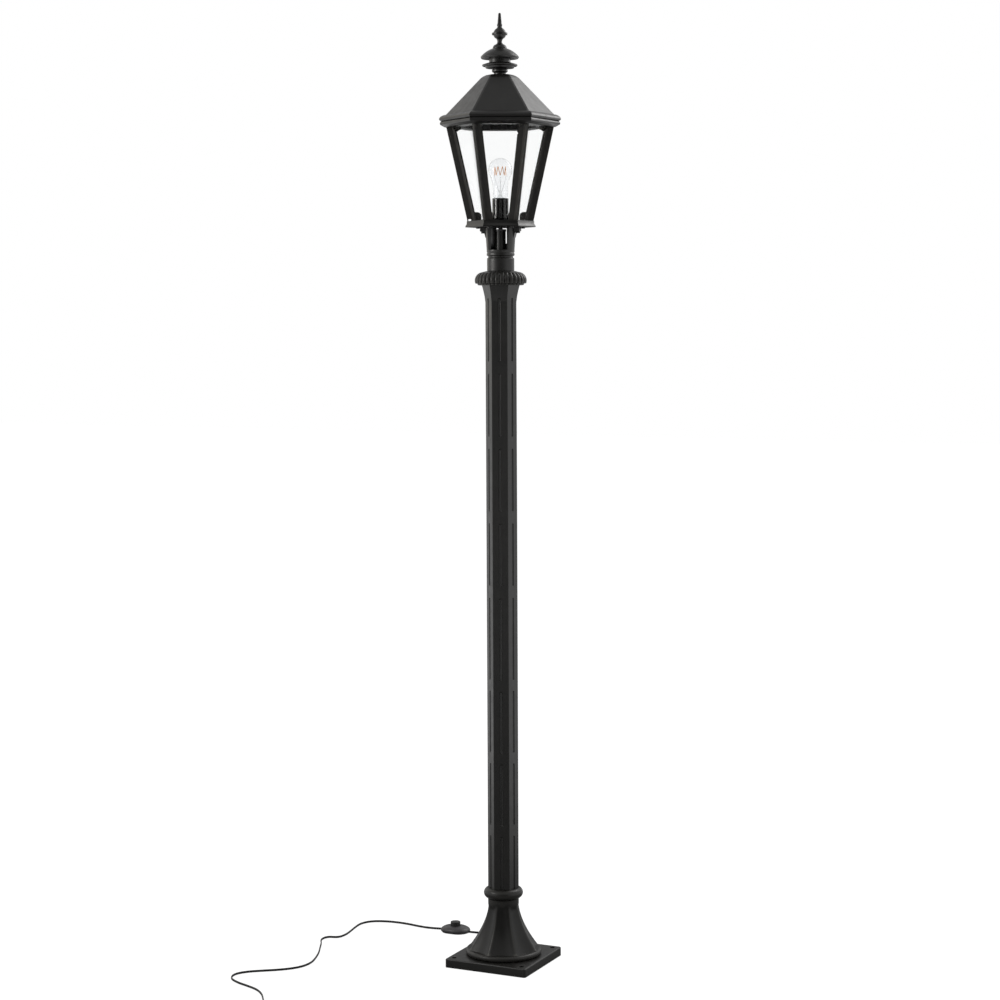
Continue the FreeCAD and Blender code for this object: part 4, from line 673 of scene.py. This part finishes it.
def cradle_pad(work, turn):
    """A pad under the lantern's ring, with a hollow sweep from the leg up to it."""
    low, high = PAD_LEVELS
    inset, drop = PAD_ROOT
    outline = [(PAD_NEAR, low - drop), (leg_radius(low - drop) - inset, low - drop)]
    outline += [(leg_radius(low) + out, low - down) for out, down in PAD_SWEEP]
    outline += [(PAD_FAR - PAD_ROUND, low), (PAD_FAR, low + PAD_ROUND), (PAD_FAR, high - PAD_GAP),
                (PAD_NEAR, high - PAD_GAP)]
    spin = Matrix.Rotation(math.radians(turn), 4, "Z")
    rings = []
    for share, back in PAD_SECTIONS:
        section = [(min(reach, PAD_FAR - back), share * PAD_WIDTH / 2, level) for reach, level in outline]
        rings.append([spin @ point for point in metres(section)])
    block(work, rings)


def make_cradle():
    """Cradle under the lantern, and the bush on the end of the tube in it."""
    work = bmesh.new()
    skin(work, lathe(CRADLE_NECK, CRADLE_SIDES), along=True)
    for start, end in LEGS:
        curved_wall(work, start, end, *CRADLE_LEVELS)
    curved_wall(work, *BACK_SILL, CRADLE_LEVELS[0], BACK_SILL_TOP)
    for turn in PAD_TURNS:
        cradle_pad(work, turn)
    piece = new_piece("cradle_casting", mesh_of(work, "cradle_casting"), "black_iron", "post")
    soften(piece, SHARP_ANGLE, CRADLE_SOFT)
    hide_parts("lantern_cradle")
    work = bmesh.new()
    skin(work, lathe(BUSH, BUSH_SIDES), along=True)
    bush = new_piece("sleeve_bush", mesh_of(work, "sleeve_bush"), "black_plastic", "post")
    sharpen(bush)


# Lines

def new_curve(name):
    curve = bpy.data.curves.new(name, "CURVE")
    curve.dimensions = "3D"
    curve.use_fill_caps = True
    return curve


def add_spline(curve, points):
    """A smooth open spline with the points as its control points."""
    spline = curve.splines.new("NURBS")
    spline.points.add(len(points) - 1)
    for control, point in zip(spline.points, points):
        control.co = (*point, 1)
    spline.order_u = 3
    spline.use_endpoint_u = True
    return spline


def make_filament():
    """Wound filament: one thick soft line of loops, on thin legs that run into the bead."""
    low, high = FILAMENT_LEVELS
    tips = []
    for i in range(FILAMENT_STRANDS + 1):
        angle = FILAMENT_TURN - math.pi * i / FILAMENT_STRANDS
        tips.append(polar(FILAMENT_RING, angle, high if i % 2 else low))
    loops = []
    for before, after in zip(tips, tips[1:]):
        loops += [before.lerp(after, share) for share in FILAMENT_HOLDS]
    line = new_curve("filament_loops")
    line.bevel_depth = FILAMENT_THICK * MM
    line.bevel_resolution = FILAMENT_ROUND
    line.materials.append(MATERIALS["filament"])
    line.materials.append(MATERIALS["lead_wire"])
    add_spline(line, loops)
    radius, level = STEM_BEAD
    for end, turn in ((tips[0], 0), (tips[-1], math.pi)):
        foot = polar(radius, FILAMENT_TURN + turn, level)
        knee = end.lerp(foot, KNEE_DOWN)
        knee.xy = end.xy.lerp(foot.xy, KNEE_IN)
        leg = add_spline(line, [end, knee, foot])
        leg.material_index = 1
        for control in leg.points:
            control.radius = LEG_THICK
    piece = place_object("filament_loops", line)
    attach(piece, "lamp")
    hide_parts("filament")


# Foot switch

def switch_point(half_long, half_wide, angle, roundness):
    """A point of the switch's outline, between its rounded oblong (0) and an ellipse (1)."""
    c, s = math.cos(angle), math.sin(angle)
    oblong = Vector((half_long * math.copysign(abs(c) ** (2 / SWITCH_POWER), c),
                     half_wide * math.copysign(abs(s) ** (2 / SWITCH_POWER), s), 0))
    return oblong.lerp(Vector((half_long * c, half_wide * s, 0)), roundness)


def switch_outline():
    """The cover's rings, outside and back up inside, as roundness, half length, half width and level."""
    foot, waist, top = SWITCH_LEVELS
    long, wide = SWITCH_HALF
    hole = BUTTON_RADIUS + BUTTON_GAP
    rings = [(0, long - inset, wide - inset, level) for inset, level in SWITCH_SIDE]
    for i in range(SWITCH_STEPS + 1):
        lean = math.radians(90) * i / SWITCH_STEPS
        rise, keep = math.sin(lean), math.cos(lean)
        rings.append((rise ** SWITCH_ROUNDING, hole + (long - hole) * keep, hole + (wide - hole) * keep,
                      waist + (top - waist) * rise))
    roundness, share, drop = SWITCH_VAULT
    inner_long, inner_wide, inner_top = long - SWITCH_WALL, wide - SWITCH_WALL, top - SWITCH_WALL
    rings += [(1, hole, hole, inner_top), (roundness, long * share, wide * share, inner_top - drop),
              (0, inner_long, inner_wide, waist),
              (0, inner_long - SWITCH_STEP, inner_wide - SWITCH_STEP, foot)]
    return rings


def make_switch():
    """Domed cover with its button and spring, in the lead."""
    spot = Vector((*SWITCH_SPOT, 0)) * MM
    place = Matrix.Translation(spot) @ Matrix.Rotation(SWITCH_TURN, 4, "Z")
    rings = []
    for roundness, half_long, half_wide, level in switch_outline():
        ring = []
        for angle in round_angles(SWITCH_POINTS):
            point = switch_point(half_long, half_wide, angle, roundness)
            point.z = level
            ring.append(place @ (point * MM))
        rings.append(ring)
    work = bmesh.new()
    skin(work, rings, along=True)
    cover = new_piece("switch_dome", mesh_of(work, "switch_dome"), "black_plastic", "post")
    sharpen(cover)
    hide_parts("switch_cover")
    bend = (BUTTON_RADIUS - BUTTON_ROUND, BUTTON_SKIRT[-1][1])
    profile = BUTTON_SKIRT + arc(bend, BUTTON_ROUND, BUTTON_ROUND_FROM, 90, BUTTON_ROUND_STEPS) + BUTTON_DISH
    work = bmesh.new()
    block(work, lathe(profile, BUTTON_SIDES, spot))
    mesh = mesh_of(work, "switch_push")
    button = new_piece("switch_push", mesh, "black_plastic", "switch_button", "push_plastic")
    sharpen(button)
    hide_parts("switch_button")
    return [cover, button, make_spring()]


def make_spring():
    """Coil spring under the button, made to fill the imported spring's box."""
    low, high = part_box("switch_spring")
    middle = (low + high) / 2
    half_wire = SPRING_WIRE * MM / 2
    radius = (high.x - low.x) / 2 - half_wire
    foot, head = low.z + half_wire, high.z - half_wire
    line = new_curve("switch_coil")
    line.bevel_depth = half_wire
    line.bevel_resolution = SPRING_ROUND
    spline = line.splines.new("POLY")
    total = SPRING_TURNS * SPRING_POINTS
    spline.points.add(total)
    for i, control in enumerate(spline.points):
        angle = FULL_TURN * i / SPRING_POINTS
        control.co = (middle.x + radius * math.cos(angle), middle.y + radius * math.sin(angle),
                      foot + (head - foot) * i / total, 1)
    maker = bpy.data.objects.new("switch_coil_line", line)
    mesh = bpy.data.meshes.new_from_object(maker)
    bpy.data.objects.remove(maker)
    spring = new_piece("switch_coil", mesh, "plain_steel", "post")
    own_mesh(spring)
    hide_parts("switch_spring")
    return spring


# Lead

def route_curve(name, points):
    """The line of a lead, kept upright along its route."""
    curve = new_curve(name)
    curve.twist_mode = "Z_UP"
    curve.resolution_u = ROUTE_STEPS
    add_spline(curve, points)
    return curve


def route_length(points):
    piece = bpy.data.objects.new("measure", route_curve("measure", points))
    mesh = bpy.data.meshes.new_from_object(piece)
    line = [vertex.co.copy() for vertex in mesh.vertices]
    bpy.data.objects.remove(piece)
    bpy.data.meshes.remove(mesh)
    return sum((after - before).length for before, after in zip(line, line[1:]))


def flex_section():
    """Section of the flat flex: two round cores side by side with a shallow valley between them."""
    core = CORD_THICKNESS / 2
    apart = CORD_HEIGHT / 2 - core
    points = []
    for side in (1, -1):
        for i in range(CORE_STEPS + 1):
            angle = math.radians(90 * side - CORE_ARC / 2 + CORE_ARC * i / CORE_STEPS)
            points.append((core * math.cos(angle), apart * side + core * math.sin(angle)))
    curve = bpy.data.curves.new("flex_section", "CURVE")
    curve.dimensions = "2D"
    spline = curve.splines.new("POLY")
    spline.points.add(len(points) - 1)
    for control, point in zip(spline.points, points):
        control.co = (*point, 0, 1)
    spline.use_cyclic_u = True
    section = place_object("flex_section", curve)
    section.hide_render = True
    section.hide_viewport = True
    return section


def coil_points(start, heading):
    """Control points of the put-away coil: in along the lower layer, up, and out along the upper."""
    spiral = (COIL_TURNS - COIL_CLIMB) / 2
    outer = COIL_RADIUS + COIL_PITCH * spiral / 2
    centre = start + UP.cross(heading) * outer
    first = math.atan2(start.y - centre.y, start.x - centre.x)
    points = []
    for i in range(1, COIL_TURNS * COIL_POINTS):
        turned = i / COIL_POINTS
        inward = min(turned, COIL_TURNS - turned)
        radius = (outer - COIL_PITCH * inward) / math.cos(math.pi / COIL_POINTS)
        level = start.z + COIL_PITCH * smooth_step(turned, spiral, spiral + COIL_CLIMB)
        angle = first + FULL_TURN * turned
        points.append(Vector((centre.x + radius * math.cos(angle), centre.y + radius * math.sin(angle),
                              level)))
    return points


def make_flex(name, points, section, nodes):
    curve = route_curve(name, points)
    curve.bevel_mode = "OBJECT"
    curve.bevel_object = section
    curve.materials.append(MATERIALS["black_flex"])
    piece = place_object(name, curve)
    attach(piece, "post")
    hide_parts(*nodes)
    return piece


def make_lead(switch):
    """The lead's two runs: from the base to the foot switch, and on to the coil and the plug."""
    section = flex_section()
    points = metres(BASE_ROUTE)
    lead = make_flex("lead_to_switch", points, section, ["cord_base_run"])
    round(route_length(points), 3)
    points = metres(FLOOR_ROUTE)
    start = points[-1]
    heading = (start - points[-2]).normalized()
    points += coil_points(start, heading)
    leave = Vector((start.x, start.y, points[-1].z))
    landing = leave + heading * PLUG_RUN
    landing.z = PLUG_LEVEL
    leaving, arriving = PLUG_BENDS
    points += [leave, leave + heading * (PLUG_RUN * leaving), landing - heading * (PLUG_RUN * arriving),
               landing, landing + heading * CORD_HEIGHT * PLUG_INSIDE]
    lead = make_flex("lead_to_plug", points, section, ["cord_floor_run", "cord_coil"])
    round(route_length(points), 3)


# Stage

def make_camera():
    data = bpy.data.cameras.new("camera")
    camera = place_object("camera", data)
    camera.location = CAMERA_PLACE
    camera.rotation_euler = [math.radians(angle) for angle in CAMERA_TURN]
    data.sensor_width = SENSOR
    data.lens = CAMERA_LENS
    data.shift_y = CAMERA_SHIFT
    data.clip_end = CAMERA_REACH
    bpy.context.scene.camera = camera


def seen_node(tree, rays):
    """Whether a ray comes from the camera, straight or through glass."""
    return math_node(tree, "MAXIMUM", rays.outputs["Is Camera Ray"], rays.outputs["Is Transmission Ray"])


def make_world():
    """White studio: plain white to the eye and through glass, with dark flags in gloss."""
    world = bpy.data.worlds.new("studio")
    bpy.context.scene.world = world
    world.use_nodes = True
    world.cycles.sampling_method = "NONE"
    tree = world.node_tree
    background = tree.nodes["Background"]
    background.inputs["Color"].default_value = (1, 1, 1, 1)
    direction = tree.nodes.new("ShaderNodeTexCoord").outputs["Generated"]
    facing = along_node(tree, direction, STUDIO_FRONT)
    flags = tree.nodes.new("ShaderNodeValToRGB")
    flags.color_ramp.interpolation = "EASE"
    stops = flags.color_ramp.elements
    while len(stops) < len(STUDIO_LEVELS):
        stops.new(0.5)
    for stop, (position, level) in zip(stops, STUDIO_LEVELS):
        stop.position = position
        stop.color = (level, level, level, 1)
    tree.links.new(spread_node(tree, facing, -1, 1, 0, 1), flags.inputs["Fac"])
    height = along_node(tree, direction, UP)
    overhead = spread_node(tree, height, OVERHEAD_FROM, OVERHEAD_TO, 1, OVERHEAD, "SMOOTHSTEP")
    gloss = math_node(tree, "MULTIPLY", flags.outputs["Color"], overhead)
    rays = tree.nodes.new("ShaderNodeLightPath")
    level = tree.nodes.new("ShaderNodeMix")
    level.data_type = "FLOAT"
    level.inputs["A"].default_value = STUDIO_FILL
    tree.links.new(rays.outputs["Is Glossy Ray"], level.inputs["Factor"])
    tree.links.new(gloss, level.inputs["B"])
    strength = math_node(tree, "MAXIMUM", seen_node(tree, rays), level.outputs["Result"])
    tree.links.new(strength, background.inputs["Strength"])


def make_floor():
    """Pale floor that stays white in the picture away from the object's shadow."""
    work = bmesh.new()
    bmesh.ops.create_grid(work, x_segments=1, y_segments=1, size=FLOOR_SIZE / 2)
    mesh = mesh_of(work, "floor")
    floor = place_object("floor", mesh)
    floor.location.z = -FLOOR_GAP * MM
    material = bpy.data.materials.new("floor")
    material.use_nodes = True
    tree = material.node_tree
    shader = tree.nodes["Principled BSDF"]
    shader.inputs["Base Color"].default_value = (FLOOR_ALBEDO, FLOOR_ALBEDO, FLOOR_ALBEDO, 1)
    shader.inputs["Roughness"].default_value = FLOOR_ROUGHNESS
    shader.inputs["Specular IOR Level"].default_value = 0.0
    rays = tree.nodes.new("ShaderNodeLightPath")
    light = math_node(tree, "MULTIPLY", seen_node(tree, rays), FLOOR_GLOW)
    spot = tree.nodes.new("ShaderNodeTexCoord").outputs["Object"]
    away = math_node(tree, "ABSOLUTE", along_node(tree, spot, STUDIO_RIGHT))
    sides = spread_node(tree, away, FLOOR_SIDES_FROM, FLOOR_SIDES_TO, FLOOR_GLOSS, FLOOR_SIDES, "SMOOTHSTEP")
    glow = tree.nodes.new("ShaderNodeEmission")
    strength = math_node(tree, "MULTIPLY_ADD", rays.outputs["Is Glossy Ray"], sides, light)
    tree.links.new(strength, glow.inputs["Strength"])
    total = tree.nodes.new("ShaderNodeAddShader")
    tree.links.new(shader.outputs["BSDF"], total.inputs[0])
    tree.links.new(glow.outputs["Emission"], total.inputs[1])
    tree.links.new(total.outputs["Shader"], tree.nodes["Material Output"].inputs["Surface"])
    mesh.materials.append(material)


def add_lamp(name, bearing, elevation, reach, size, power, colour, level):
    """A soft box aimed at a level of the post."""
    data = bpy.data.lights.new(name, "AREA")
    data.shape = "RECTANGLE"
    data.size, data.size_y = size
    data.energy = power
    data.color = colour
    lamp = place_object(name, data)
    turn = STUDIO_SIDE + math.radians(bearing)
    rise = math.radians(elevation)
    way = Vector((math.sin(turn) * math.cos(rise), -math.cos(turn) * math.cos(rise), math.sin(rise)))
    lamp.location = UP * level + way * reach
    lamp.rotation_euler = (-way).to_track_quat("-Z", "Y").to_euler()


def make_stage():
    make_camera()
    make_world()
    make_floor()
    for lamp in LAMPS:
        add_lamp(*lamp)
    bpy.context.scene.view_settings.view_transform = "Standard"


make_stage()
for node in NODES:
    finish_node(node)
make_pedestal()
make_collar()
make_cradle()
make_filament()
make_lead(make_switch())
